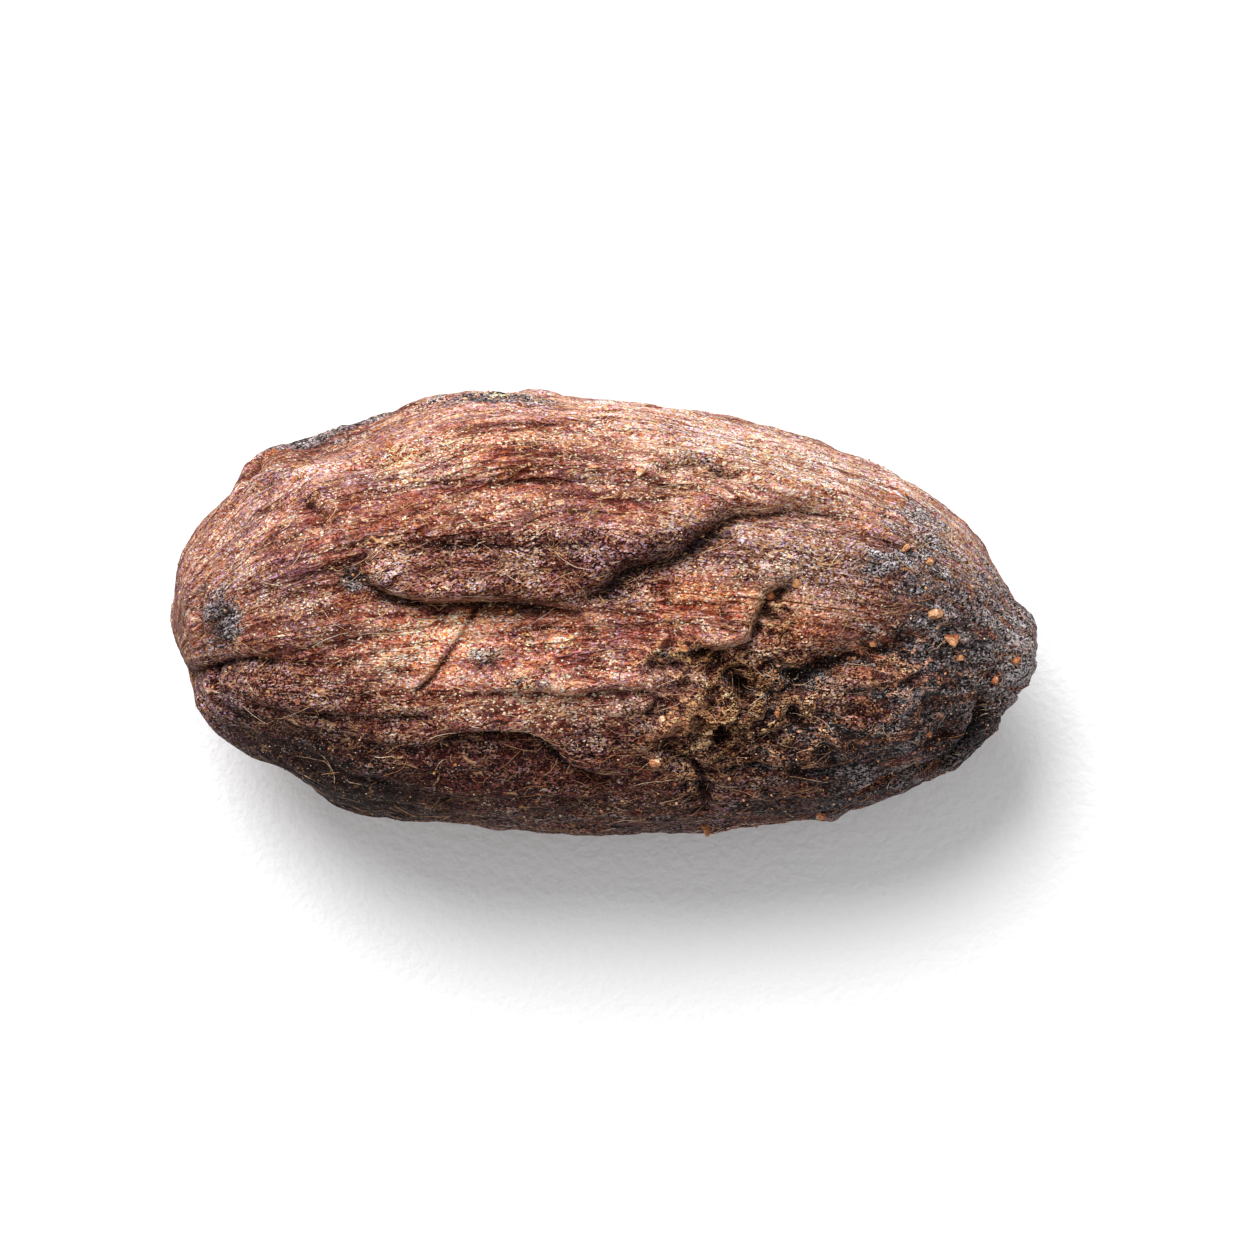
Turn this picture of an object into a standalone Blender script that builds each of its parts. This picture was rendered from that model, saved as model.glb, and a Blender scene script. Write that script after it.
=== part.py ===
"""One dried cocoa bean in its shell, lying on its broad side.

The shell is a sphere drawn out to the bean's outline and crown heights, then creased
by the folds, ridges and wrinkles that drying leaves, and cut flat where it rests.
Metres, +Z up, +X along the bean, the surface that it rests on at Z = 0.
"""

import math
from dataclasses import dataclass

import bmesh
import bpy
import numpy as np
from mathutils import Vector, noise

MM = 0.001  # metres in a millimetre

# Body: half sizes at the seam, the widest line round the bean, and the two crowns.
HALF_LENGTH = 12.1 * MM
HALF_WIDTH = 6.3 * MM
SEAM_HEIGHT = 4.0 * MM
CROWN_ABOVE_SEAM = 4.5 * MM
CROWN_BELOW_SEAM = 4.12 * MM
FLAT_CUT = 0.12 * MM  # how much of the underside is lost to the flat that it rests on
SECTION_FULLNESS = 2.25  # 2 is an ellipse, more is squarer
SEAM_CENTRE = Vector((-0.2 * MM, -1.2 * MM))  # the line between the two ends crosses here
CROWN_CENTRE_Y = 0.25 * MM  # the crown stands a little behind the line between the ends
SEAM_WAVE = 0.25 * MM
BLUNT_END_THICKER = 0.07  # share by which the blunt end is thicker than the middle

# The seam seen from above, anticlockwise from the pointed end, in millimetres.
OUTLINE_MM = (
    (11.75, -1.3), (11.3, 1.05), (9.4, 3.35), (6.6, 4.72), (3.0, 5.75), (-0.8, 6.3),
    (-4.5, 6.3), (-7.6, 5.15), (-10.2, 4.05), (-12.0, 1.65), (-12.1, -1.2),
    (-11.25, -3.1), (-9.2, -4.62), (-7.7, -5.45), (-5.8, -5.82), (-1.5, -6.27), (3.6, -6.2),
    (7.0, -5.65), (9.95, -4.45), (11.4, -3.0),
)

# Wrinkles that run from end to end, and the softer dents between them.
WRINKLE_HEIGHT = 0.2 * MM
WRINKLE_COUNT = 4.6  # noise cells across half the width
WRINKLE_STRETCH = 1.1  # noise cells along the half length
CROWN_CALM = 0.45  # share of the wrinkles lost on the crown, where the folds are
DENT_DEPTH = 0.16 * MM
DENT_SIZE = 3.2 * MM
CRINKLE_HEIGHT = 0.07 * MM
CRINKLE_SIZE = 0.9 * MM
CALM_REACH = 3.6 * MM  # wrinkles die out this near to the resting spot

# Dried pulp crusted over the pointed half: rough where it lies.
CRUST_HEIGHT = 0.32 * MM
CRUST_SIZE = 1.5 * MM
CRUST_CENTRE_MM = (3.9, -2.9)
CRUST_HALF_LENGTH = 3.1 * MM
CRUST_HALF_WIDTH = 2.4 * MM

SPHERE_DETAIL = 7  # icosphere subdivisions, 81,920 triangles
TRIANGLES_KEPT = 10600
ROUTE_STEP = 0.2 * MM

SHELL_COLOUR = (0.19, 0.075, 0.05, 1.0)
SHELL_ROUGHNESS = 0.72


@dataclass(frozen=True)
class Fold:
    """A crease whose left side, going along its route, stands over its right side."""

    route_mm: tuple
    depth: float  # millimetres, as the other sizes here
    steep: float  # width of the slope on the left side
    gentle: float  # width of the slope on the right side
    lip: float  # height of the swelling along the left side
    over: float = 0.0  # how far the swelling leans over the right side
    top: bool = True


@dataclass(frozen=True)
class Ridge:
    """A raised line."""

    route_mm: tuple
    height: float
    width: float
    top: bool = True


@dataclass(frozen=True)
class Mound:
    """A swelling, or a hollow if its height is below zero."""

    centre_mm: tuple
    half_length: float
    half_width: float
    height: float
    turn_deg: float = 0.0
    squareness: float = 2.0  # 2 slopes gently, 4 has a steep edge
    top: bool = True


FOLDS = {
    "long fold": Fold(
        ((-7.3, 1.3), (-6.5, 0.66), (-5.0, 0.36), (-3.0, 0.4), (-1.7, 0.24), (-0.8, 0.05)),
        0.75, 0.2, 0.85, 0.42, 0.26,
    ),
    "rising fold": Fold(
        ((-0.9, 0.1), (-0.2, 0.75), (0.5, 1.35), (1.8, 1.7), (2.6, 2.3), (3.3, 2.85), (4.6, 3.1),
         (5.4, 3.2), (6.5, 2.85), (7.4, 2.4)),
        0.55, 0.25, 0.9, 0.26, 0.18,
    ),
    "line over the lobe": Fold(
        ((-11.2, 0.4), (-9.0, 0.95), (-7.3, 1.6), (-5.8, 2.0), (-3.0, 1.98), (0.0, 1.98),
         (2.4, 1.85)),
        0.17, 0.14, 0.4, 0.1,
    ),
    "upper line": Fold(
        ((-8.7, 3.25), (-7.0, 3.4), (-5.7, 3.8), (-3.5, 3.85), (-1.0, 3.9), (1.0, 3.75),
         (2.9, 3.6)),
        0.17, 0.14, 0.5, 0.1,
    ),
    "upper step": Fold(
        ((0.9, 3.95), (1.6, 4.2), (2.2, 4.5), (3.2, 4.25), (4.0, 3.8), (5.0, 3.45)),
        0.2, 0.12, 0.45, 0.14,
    ),
    "diagonal crack": Fold(
        ((-5.9, -2.6), (-4.9, -1.4), (-4.25, -0.5), (-3.85, 0.3)), 0.3, 0.16, 0.4, 0.12, 0.08,
    ),
    "short groove": Fold(((-0.85, 0.1), (-0.65, -0.35), (-0.3, -0.7)), 0.25, 0.25, 0.4, 0.05),
    "lower fold": Fold(
        ((-5.2, -3.9), (-4.2, -3.45), (-3.1, -3.4), (-2.0, -3.62), (-1.3, -4.25), (-0.5, -4.6),
         (0.6, -4.8)),
        0.46, 0.18, 0.6, 0.2, 0.16,
    ),
    "middle step": Fold(
        ((-4.1, -2.25), (-2.6, -2.2), (-1.2, -2.35), (0.2, -2.2), (1.8, -2.35)),
        0.22, 0.15, 0.4, 0.16,
    ),
    "blunt end pinch": Fold(
        ((-12.0, -1.65), (-11.2, -1.4), (-10.3, -1.3), (-9.3, -1.32)), 0.4, 0.14, 0.32, 0.1,
    ),
    "blunt end line": Fold(
        ((-10.3, -1.12), (-9.2, -1.1), (-7.6, -0.7), (-6.0, -0.4)), 0.13, 0.14, 0.35, 0.1,
    ),
    "left lower line": Fold(
        ((-10.6, -2.6), (-8.6, -2.95), (-6.4, -3.0), (-4.6, -2.95)), 0.16, 0.16, 0.5, 0.08,
    ),
    "crust edge": Fold(
        ((2.7, -5.9), (2.75, -5.1), (2.3, -4.35), (1.7, -4.0), (1.5, -3.5)),
        0.3, 0.3, 0.2, 0.0,
    ),
    "valley": Fold(
        ((2.6, -1.35), (3.2, -1.65), (3.7, -2.1), (4.5, -2.3), (5.4, -2.1), (6.2, -1.5),
         (7.4, -1.2), (8.8, -0.8)),
        0.5, 0.45, 0.35, 0.1,
    ),
    "high crust edge": Fold(
        ((2.0, -1.1), (3.3, -1.05), (3.95, -0.8), (4.2, -0.3), (4.3, 0.15), (4.7, 0.65),
         (5.5, 0.95)),
        0.4, 0.18, 0.5, 0.24, 0.1,
    ),
    "crust pit": Fold(((1.0, -1.3), (1.5, -1.5), (2.0, -1.5)), 0.3, 0.2, 0.3, 0.1),
    "seam groove": Fold(
        ((7.0, -5.2), (8.2, -4.75), (9.6, -4.25), (10.2, -3.75), (10.6, -2.9), (10.7, -2.0)),
        0.3, 0.35, 0.16, 0.0,
    ),
    "seam lip": Fold(
        ((-8.4, 5.1), (-9.1, 4.6), (-9.9, 4.2), (-10.5, 3.6)), 0.2, 0.2, 0.1, 0.0,
    ),
    "nub foot": Fold(
        ((11.15, -3.3), (11.35, -2.2), (11.25, -1.0), (11.0, 0.2)), 0.2, 0.2, 0.25, 0.1,
    ),
    "under fold": Fold(
        ((8.6, 1.0), (5.0, 2.3), (1.0, 3.5), (-4.0, 3.9), (-8.0, 2.9)),
        0.32, 0.17, 0.6, 0.16, top=False,
    ),
    "under line": Fold(
        ((-10.6, -1.0), (-7.6, -2.6), (-3.5, -4.2), (2.0, -4.3), (6.0, -3.4)),
        0.26, 0.16, 0.6, 0.14, top=False,
    ),
    "under pinch": Fold(
        ((11.2, -1.5), (9.4, -1.0), (7.6, -0.3), (6.0, 0.0)), 0.3, 0.2, 0.5, 0.12, top=False,
    ),
}

RIDGES = {
    "crust crest": Ridge(((1.4, -3.6), (1.6, -3.05), (2.1, -2.55), (2.8, -2.2)), 0.34, 0.26),
    "low crust crest": Ridge(
        ((2.0, -3.1), (3.2, -2.95), (4.6, -2.7), (5.4, -2.5), (6.6, -1.95), (8.0, -1.8)),
        0.24, 0.26,
    ),
    "small crust crest": Ridge(((5.8, -3.2), (6.45, -3.65), (6.6, -4.1)), 0.22, 0.2),
    "blunt end rim": Ridge(
        ((-12.0, 1.0), (-11.9, -0.4), (-11.75, -1.5), (-11.3, -2.7), (-10.4, -3.6)), 0.16, 0.25,
    ),
    "top flake": Ridge(((-5.5, 6.0), (-4.0, 6.15), (-2.1, 6.2)), 0.17, 0.38),
    "pointed end rim": Ridge(((11.0, 0.4), (11.2, -0.8), (11.3, -2.0)), 0.14, 0.25),
}

MOUNDS = {
    "lobe": Mound((-3.2, 1.15), 4.2, 1.0, 0.3, 1.0),
    "lobe foot": Mound((0.9, 2.5), 2.4, 0.9, 0.2, 28.0),
    "slope above the valley": Mound((5.0, -1.5), 1.9, 0.6, -0.25, 8.0),
    "tab on the middle step": Mound((-2.35, -1.85), 0.42, 0.34, 0.16, squareness=4.0),
    "slope under the rising fold": Mound((2.2, 0.7), 1.8, 0.7, 0.2, 20.0),
    "left cheek": Mound((-8.3, -0.1), 2.6, 0.9, 0.16, 8.0),
    "lower cheek": Mound((-3.0, -1.0), 2.2, 1.0, 0.16, -6.0),
    "right cheek": Mound((7.4, -3.2), 2.4, 1.2, 0.22, 24.0),
    "upper right cheek": Mound((8.2, 1.2), 2.0, 1.2, 0.15, -30.0),
    "nub": Mound((12.0, -1.1), 1.1, 1.45, 0.68, squareness=3.0),
    "corner of the seam lip": Mound((-9.9, 4.1), 1.3, 0.7, 0.34, 38.0, 4.0),
    "blunt end lump": Mound((-12.1, -0.1), 0.8, 0.62, 0.34, top=False),
    "under lump": Mound((3.5, -0.6), 2.6, 1.4, 0.1, 15.0, top=False),
    "seam crumb one": Mound((2.95, -6.25), 0.32, 0.3, 0.22),
    "seam crumb two": Mound((6.35, -5.85), 0.42, 0.3, 0.24),
    "pale crumb": Mound((1.42, -4.3), 0.26, 0.26, 0.2),
    "right crumb": Mound((9.38, -0.07), 0.3, 0.28, 0.26),
    "right crumb two": Mound((10.0, -0.75), 0.36, 0.26, 0.24, 30.0),
}


def smooth_route(points, step=ROUTE_STEP):
    """A Catmull-Rom curve through the points, as an array with a point every step."""
    points = np.asarray(points, float)
    ends = (2 * points[0] - points[1], 2 * points[-1] - points[-2])
    padded = np.vstack([ends[0], points, ends[1]])
    pieces = []
    for a, b, c, d in zip(padded, padded[1:], padded[2:], padded[3:]):
        count = max(2, int(np.linalg.norm(c - b) / step))
        t = np.linspace(0, 1, count, endpoint=False)[:, None]
        pieces.append(
            0.5 * (2 * b + (c - a) * t + (2 * a - 5 * b + 4 * c - d) * t**2
                   + (3 * b - a - 3 * c + d) * t**3)
        )
    return np.vstack([*pieces, points[-1:]])


def outline_reach(angle):
    """How far the seam lies from its centre, in half sizes, in the directions given."""
    points = np.array(OUTLINE_MM) * MM - np.array(SEAM_CENTRE)
    scaled = points / (HALF_LENGTH, HALF_WIDTH)
    at = np.unwrap(np.arctan2(scaled[:, 1], scaled[:, 0]))
    knots = smooth_route(
        np.column_stack([
            np.concatenate([at[-3:] - 2 * math.pi, at, at[:3] + 2 * math.pi]),
            np.tile(np.hypot(*scaled.T), 3)[len(at) - 3 : 2 * len(at) + 3],
        ]),
        step=0.02,
    )
    first = knots[0, 0]
    return np.interp((angle - first) % (2 * math.pi) + first, knots[:, 0], knots[:, 1])


def body_points(directions):
    """The smooth body: each direction on the unit sphere as a point on the shell."""
    x, y, z = directions.T
    across = np.hypot(x, y)
    full = (across**SECTION_FULLNESS + np.abs(z) ** SECTION_FULLNESS) ** (1 / SECTION_FULLNESS)
    across, rise = across / full, z / full
    angle = np.arctan2(y, x)
    reach = outline_reach(angle) * across
    crown = np.where(rise > 0, CROWN_ABOVE_SEAM, CROWN_BELOW_SEAM)
    crown = crown * (1 - BLUNT_END_THICKER * np.cos(angle) * across)
    wave = SEAM_WAVE * np.sin(2 * angle + 0.6) * across**2
    return np.column_stack([
        SEAM_CENTRE.x + HALF_LENGTH * reach * np.cos(angle),
        SEAM_CENTRE.y * across**2 + CROWN_CENTRE_Y * (1 - across**2)
        + HALF_WIDTH * reach * np.sin(angle),
        SEAM_HEIGHT + crown * rise + wave,
    ])


def nearest_on_route(points, route):
    """For each point its distance from the route, the place nearest to it and the heading there,
    and how far along the route that is, from 0 to 1."""
    starts, runs = route[:-1], np.diff(route, axis=0)
    lengths = np.linalg.norm(runs, axis=1)
    away = points[:, None] - starts
    share = np.clip((away * runs).sum(2) / lengths**2, 0, 1)
    gaps = np.linalg.norm(away - share[..., None] * runs, axis=2)
    best = gaps.argmin(1)
    rows = np.arange(len(points))
    place = starts[best] + share[rows, best, None] * runs[best]
    along = (np.concatenate([[0], lengths.cumsum()])[best] + share[rows, best] * lengths[best])
    return gaps[rows, best], place, runs[best] / lengths[best, None], along / lengths.sum()


def fade_at_ends(along):
    """1 along the middle of a route, falling to 0 at both ends."""
    return np.clip(np.minimum(along, 1 - along) / 0.18, 0, 1) ** 0.7


class Shell:
    """The shell's points on the smooth body, and what is raised from them."""

    def __init__(self, directions, points, normals):
        self.directions = directions
        self.points = points
        self.normals = normals
        self.raised = np.zeros(len(points))
        self.slid = np.zeros((len(points), 3))

    def lay(self, plan_mm, top):
        """The points on the smooth body over or under these points of the plan."""
        plan = np.asarray(plan_mm, float) * MM
        side = self.directions[:, 2] > 0 if top else self.directions[:, 2] <= 0
        candidates = self.points[side]
        picked = [
            candidates[np.argmin(((candidates[:, :2] - p) ** 2).sum(1))] for p in plan
        ]
        return np.array(picked)

    def near(self, route, reach):
        """The points within reach of the box that holds the route."""
        low, high = route.min(0) - reach, route.max(0) + reach
        return np.flatnonzero(((self.points > low) & (self.points < high)).all(1))

    def add_fold(self, fold):
        """Presses a fold in, and swells its left side."""
        route = smooth_route(self.lay(smooth_route(fold.route_mm, step=0.6), fold.top))
        some = self.near(route, 4 * max(fold.steep, fold.gentle) * MM)
        gap, place, heading, along = nearest_on_route(self.points[some], route)
        turned = np.cross(heading, self.points[some] - place)
        left = (turned * self.normals[some]).sum(1) > 0
        width = np.where(left, fold.steep, fold.gentle) * MM
        swell = fold.lip * np.exp(-(((gap / MM - 2.6 * fold.steep) / (2.2 * fold.steep)) ** 2))
        pressed = fold.depth * np.exp(-((gap / width) ** 1.3)) - np.where(left, swell, 0.0)
        fade = fade_at_ends(along)
        self.raised[some] -= pressed * MM * fade
        across = np.cross(heading, self.normals[some])
        lean = fold.over * MM * np.exp(-(((gap / MM - 2 * fold.steep) / (1.4 * fold.steep)) ** 2))
        self.slid[some] += across * (lean * left * fade)[:, None]

    def add_ridge(self, ridge):
        """Raises a ridge."""
        route = smooth_route(self.lay(smooth_route(ridge.route_mm, step=0.6), ridge.top))
        some = self.near(route, 3 * ridge.width * MM)
        gap, _, _, along = nearest_on_route(self.points[some], route)
        rise = ridge.height * MM * np.exp(-((gap / (ridge.width * MM)) ** 2))
        self.raised[some] += rise * fade_at_ends(along)

    def add_mound(self, mound):
        """Raises a mound, or sinks a hollow."""
        centre = self.lay([mound.centre_mm], mound.top)[0]
        turn = math.radians(mound.turn_deg)
        ahead = np.array((math.cos(turn), math.sin(turn), 0.0))
        away = self.points - centre
        forward = away @ ahead
        aside = np.linalg.norm(away - forward[:, None] * ahead, axis=1)
        spread = np.hypot(forward / mound.half_length, aside / mound.half_width) / MM
        self.raised += mound.height * MM * np.exp(-(spread**mound.squareness))

    def add_crust(self):
        """Roughens the patch of dried pulp."""
        centre = self.lay([CRUST_CENTRE_MM], top=True)[0]
        away = self.points - centre
        spread = np.hypot(away[:, 0] / CRUST_HALF_LENGTH,
                          np.hypot(away[:, 1], away[:, 2]) / CRUST_HALF_WIDTH)
        cover = np.exp(-(spread**4))
        lumps = [noise.ridged_multi_fractal(p, 0.8, 2.2, 3, 1.0, 1.5)
                 for p in self.points / CRUST_SIZE]
        self.raised += CRUST_HEIGHT * cover * (np.array(lumps) - 1.1)

    def add_wrinkles(self):
        """Wrinkles that meet at both ends, dents and crinkles, calm over the resting spot."""
        low = self.points[:, 2].min()
        under = np.hypot(np.hypot(self.points[:, 0] / 1.8, self.points[:, 1]),
                         self.points[:, 2] - low)
        calm = np.clip(under / CALM_REACH, 0, 1) ** 2
        x, y, z = self.directions.T
        round_it = np.hypot(y, z) + 1e-9
        fade = np.clip(round_it / 0.35, 0, 1)
        streaks = np.column_stack([
            x * WRINKLE_STRETCH, y / round_it * WRINKLE_COUNT, z / round_it * WRINKLE_COUNT,
        ])
        wrinkles = [noise.ridged_multi_fractal(p, 0.9, 2.1, 4, 0.9, 1.6) for p in streaks]
        fade = fade * (1 - CROWN_CALM * np.clip((z - 0.55) / 0.3, 0, 1))
        dents = [noise.fractal(p, 1.0, 2.0, 2) for p in self.points / DENT_SIZE]
        crinkles = [noise.turbulence(p, 3, False) for p in self.points / CRINKLE_SIZE]
        self.raised += calm * (
            WRINKLE_HEIGHT * fade * (np.array(wrinkles) - 1.0)
            + DENT_DEPTH * np.array(dents)
            + CRINKLE_HEIGHT * (np.array(crinkles) - 0.7)
        )


def sphere_mesh():
    """A fine triangle sphere of radius 1, and its points as an array."""
    mesh = bpy.data.meshes.new("cocoa_bean")
    ball = bmesh.new()
    bmesh.ops.create_icosphere(ball, subdivisions=SPHERE_DETAIL, radius=1.0)
    ball.to_mesh(mesh)
    ball.free()
    return mesh, read_vectors(mesh.vertices, "co")


def read_vectors(items, name):
    """A vector property of every vertex as an array."""
    values = np.empty(len(items) * 3, np.float32)
    items.foreach_get(name, values)
    return values.reshape(-1, 3).astype(float)


def move_vertices(mesh, points):
    """Puts the mesh's vertices at these points."""
    mesh.vertices.foreach_set("co", points.astype(np.float32).ravel())
    mesh.update()


def shell_mesh():
    """The creased shell as a fine mesh."""
    mesh, directions = sphere_mesh()
    move_vertices(mesh, body_points(directions))
    shell = Shell(directions, read_vectors(mesh.vertices, "co"),
                  read_vectors(mesh.vertices, "normal"))
    for fold in FOLDS.values():
        shell.add_fold(fold)
    for ridge in RIDGES.values():
        shell.add_ridge(ridge)
    for mound in MOUNDS.values():
        shell.add_mound(mound)
    shell.add_crust()
    shell.add_wrinkles()
    move_vertices(mesh, shell.points + shell.normals * shell.raised[:, None] + shell.slid)
    return mesh


def fewer_facets(obj):
    """Drops facets where the shell is smooth, which keeps them for the folds."""
    thinner = obj.modifiers.new("fewer facets", "DECIMATE")
    thinner.ratio = TRIANGLES_KEPT / len(obj.data.polygons)
    bpy.context.view_layer.update()
    graph = bpy.context.evaluated_depsgraph_get()
    thinned = bpy.data.meshes.new_from_object(obj.evaluated_get(graph))
    obj.modifiers.clear()
    obj.data = thinned


def cut_resting_flat(mesh):
    """Cuts the underside flat, and stands the bean on Z = 0 with its box centred on the Z axis."""
    body = bmesh.new()
    body.from_mesh(mesh)
    lowest = min(v.co.z for v in body.verts)
    flat = Vector((0, 0, lowest + FLAT_CUT))
    everything = [*body.verts, *body.edges, *body.faces]
    cut = bmesh.ops.bisect_plane(body, geom=everything, plane_co=flat, plane_no=(0, 0, 1),
                                 clear_inner=True)
    rim = [e for e in cut["geom_cut"] if isinstance(e, bmesh.types.BMEdge)]
    bmesh.ops.holes_fill(body, edges=rim)
    middle = [
        (min(v.co[axis] for v in body.verts) + max(v.co[axis] for v in body.verts)) / 2
        for axis in (0, 1)
    ]
    bmesh.ops.translate(body, verts=body.verts, vec=(-middle[0], -middle[1], -flat.z))
    bmesh.ops.recalc_face_normals(body, faces=body.faces)
    body.to_mesh(mesh)
    body.free()


def shell_material():
    """Dried seed coat: reddish brown and dull."""
    material = bpy.data.materials.new("dried seed coat")
    material.use_nodes = True
    shader = material.node_tree.nodes["Principled BSDF"]
    shader.inputs["Base Color"].default_value = SHELL_COLOUR
    shader.inputs["Roughness"].default_value = SHELL_ROUGHNESS
    shader.inputs["Metallic"].default_value = 0.0
    return material


def clear_scene():
    """Removes every object."""
    for obj in list(bpy.data.objects):
        bpy.data.objects.remove(obj)


def main():
    """Builds the bean."""
    clear_scene()
    bean = bpy.data.objects.new("cocoa_bean", shell_mesh())
    bpy.context.scene.collection.objects.link(bean)
    fewer_facets(bean)
    cut_resting_flat(bean.data)
    bean.data.materials.clear()
    bean.data.materials.append(shell_material())
    bean.data.shade_smooth()


main()
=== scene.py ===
"""A dried cocoa bean on white paper, dressed for a picture from above.

The bean's shell is drawn again from the sizes of its solid, with finer folds and
wrinkles, and carries the dried pulp that sticks to such beans: threads, grains and
crumbs. Metres, +Z up, +X from the blunt end to the pointed end.
"""

import logging
import math
from collections.abc import Iterable, Sequence
from dataclasses import dataclass, field
from enum import Enum
from functools import reduce

import bmesh
import bpy
import numpy as np
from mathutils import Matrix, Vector, noise
from mathutils.bvhtree import BVHTree


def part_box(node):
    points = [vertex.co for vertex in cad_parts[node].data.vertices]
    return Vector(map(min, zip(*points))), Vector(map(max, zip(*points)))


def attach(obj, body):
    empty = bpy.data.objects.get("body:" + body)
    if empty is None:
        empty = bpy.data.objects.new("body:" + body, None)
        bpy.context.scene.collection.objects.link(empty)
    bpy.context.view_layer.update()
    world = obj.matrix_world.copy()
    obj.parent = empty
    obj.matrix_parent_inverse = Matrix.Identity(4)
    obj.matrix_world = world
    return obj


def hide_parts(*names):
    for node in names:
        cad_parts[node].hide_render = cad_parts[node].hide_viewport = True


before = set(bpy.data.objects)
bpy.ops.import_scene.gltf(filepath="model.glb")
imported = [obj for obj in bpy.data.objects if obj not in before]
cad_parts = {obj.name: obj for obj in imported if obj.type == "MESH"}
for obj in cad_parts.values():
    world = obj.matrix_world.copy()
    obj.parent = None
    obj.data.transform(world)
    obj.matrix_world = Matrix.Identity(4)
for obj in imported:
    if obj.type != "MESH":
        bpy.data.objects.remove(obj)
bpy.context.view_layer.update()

Socket = bpy.types.NodeSocket
LOG = logging.getLogger("cocoa_bean")
MM = 0.001  # metres in a millimetre
NODE = "cocoa_bean"
BODY = "root"
PICTURE_SIDE = 1260  # pixels
PIXEL = 25.0 * MM / 871  # one pixel of the picture at the bean, in metres
PICTURE_CENTRE = (0.76 * MM, -0.50 * MM)  # the plan point in the middle of the picture
ROUTE_END = 0.18  # the share of a route along which it fades out at each end


class Side(Enum):
    """The half of the shell that a feature lies on."""

    TOP = 1
    UNDER = -1


class Mark(Enum):
    """What colours a patch of the shell. The value names the mesh attribute."""

    MOULD = "mould"
    RUST = "rust"
    WINE = "wine"
    CRUST = "crust"
    DUST = "dust"
    PALE_AND_SHEEN = "pale_and_sheen"
    TONE_LIGHT_AND_SHADE = "tone"


def linear(hex_colour: str) -> tuple[float, float, float, float]:
    """Turns an sRGB hex colour to linear light.

    Args:
        hex_colour: six hex digits after a hash.

    Returns:
        Red, green, blue and an alpha of 1.
    """
    parts = [int(hex_colour[i : i + 2], 16) / 255 for i in (1, 3, 5)]
    red, green, blue = [p / 12.92 if p <= 0.04045 else ((p + 0.055) / 1.055) ** 2.4 for p in parts]
    return red, green, blue, 1.0


# Shapes that lie on the shell


@dataclass(frozen=True)
class Fold:
    """A crease whose left side, going along its route, stands over its right side.

    Sizes are in millimetres. The slope on the left is steep, the one on the right
    gentle, the lip swells along the left side and leans over the right by over.
    """

    route_mm: tuple[tuple[float, float], ...]
    depth: float
    steep: float
    gentle: float
    lip: float
    over: float = 0.0
    side: Side = Side.TOP


@dataclass(frozen=True)
class Ridge:
    """A raised line, or a groove if its height is below zero. Sizes in millimetres."""

    route_mm: tuple[tuple[float, float], ...]
    height: float
    width: float
    side: Side = Side.TOP


@dataclass(frozen=True)
class Mound:
    """A swelling, or a hollow if its height is below zero. Sizes in millimetres."""

    centre_mm: tuple[float, float]
    half_length: float
    half_width: float
    height: float
    turn_deg: float = 0.0
    squareness: float = 2.0
    side: Side = Side.TOP


@dataclass(frozen=True)
class Patch:
    """A stained or crusted patch. Sizes in millimetres."""

    centre_mm: tuple[float, float]
    half_length: float
    half_width: float
    turn_deg: float = 0.0
    strength: float = 1.0
    side: Side = Side.TOP


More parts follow.
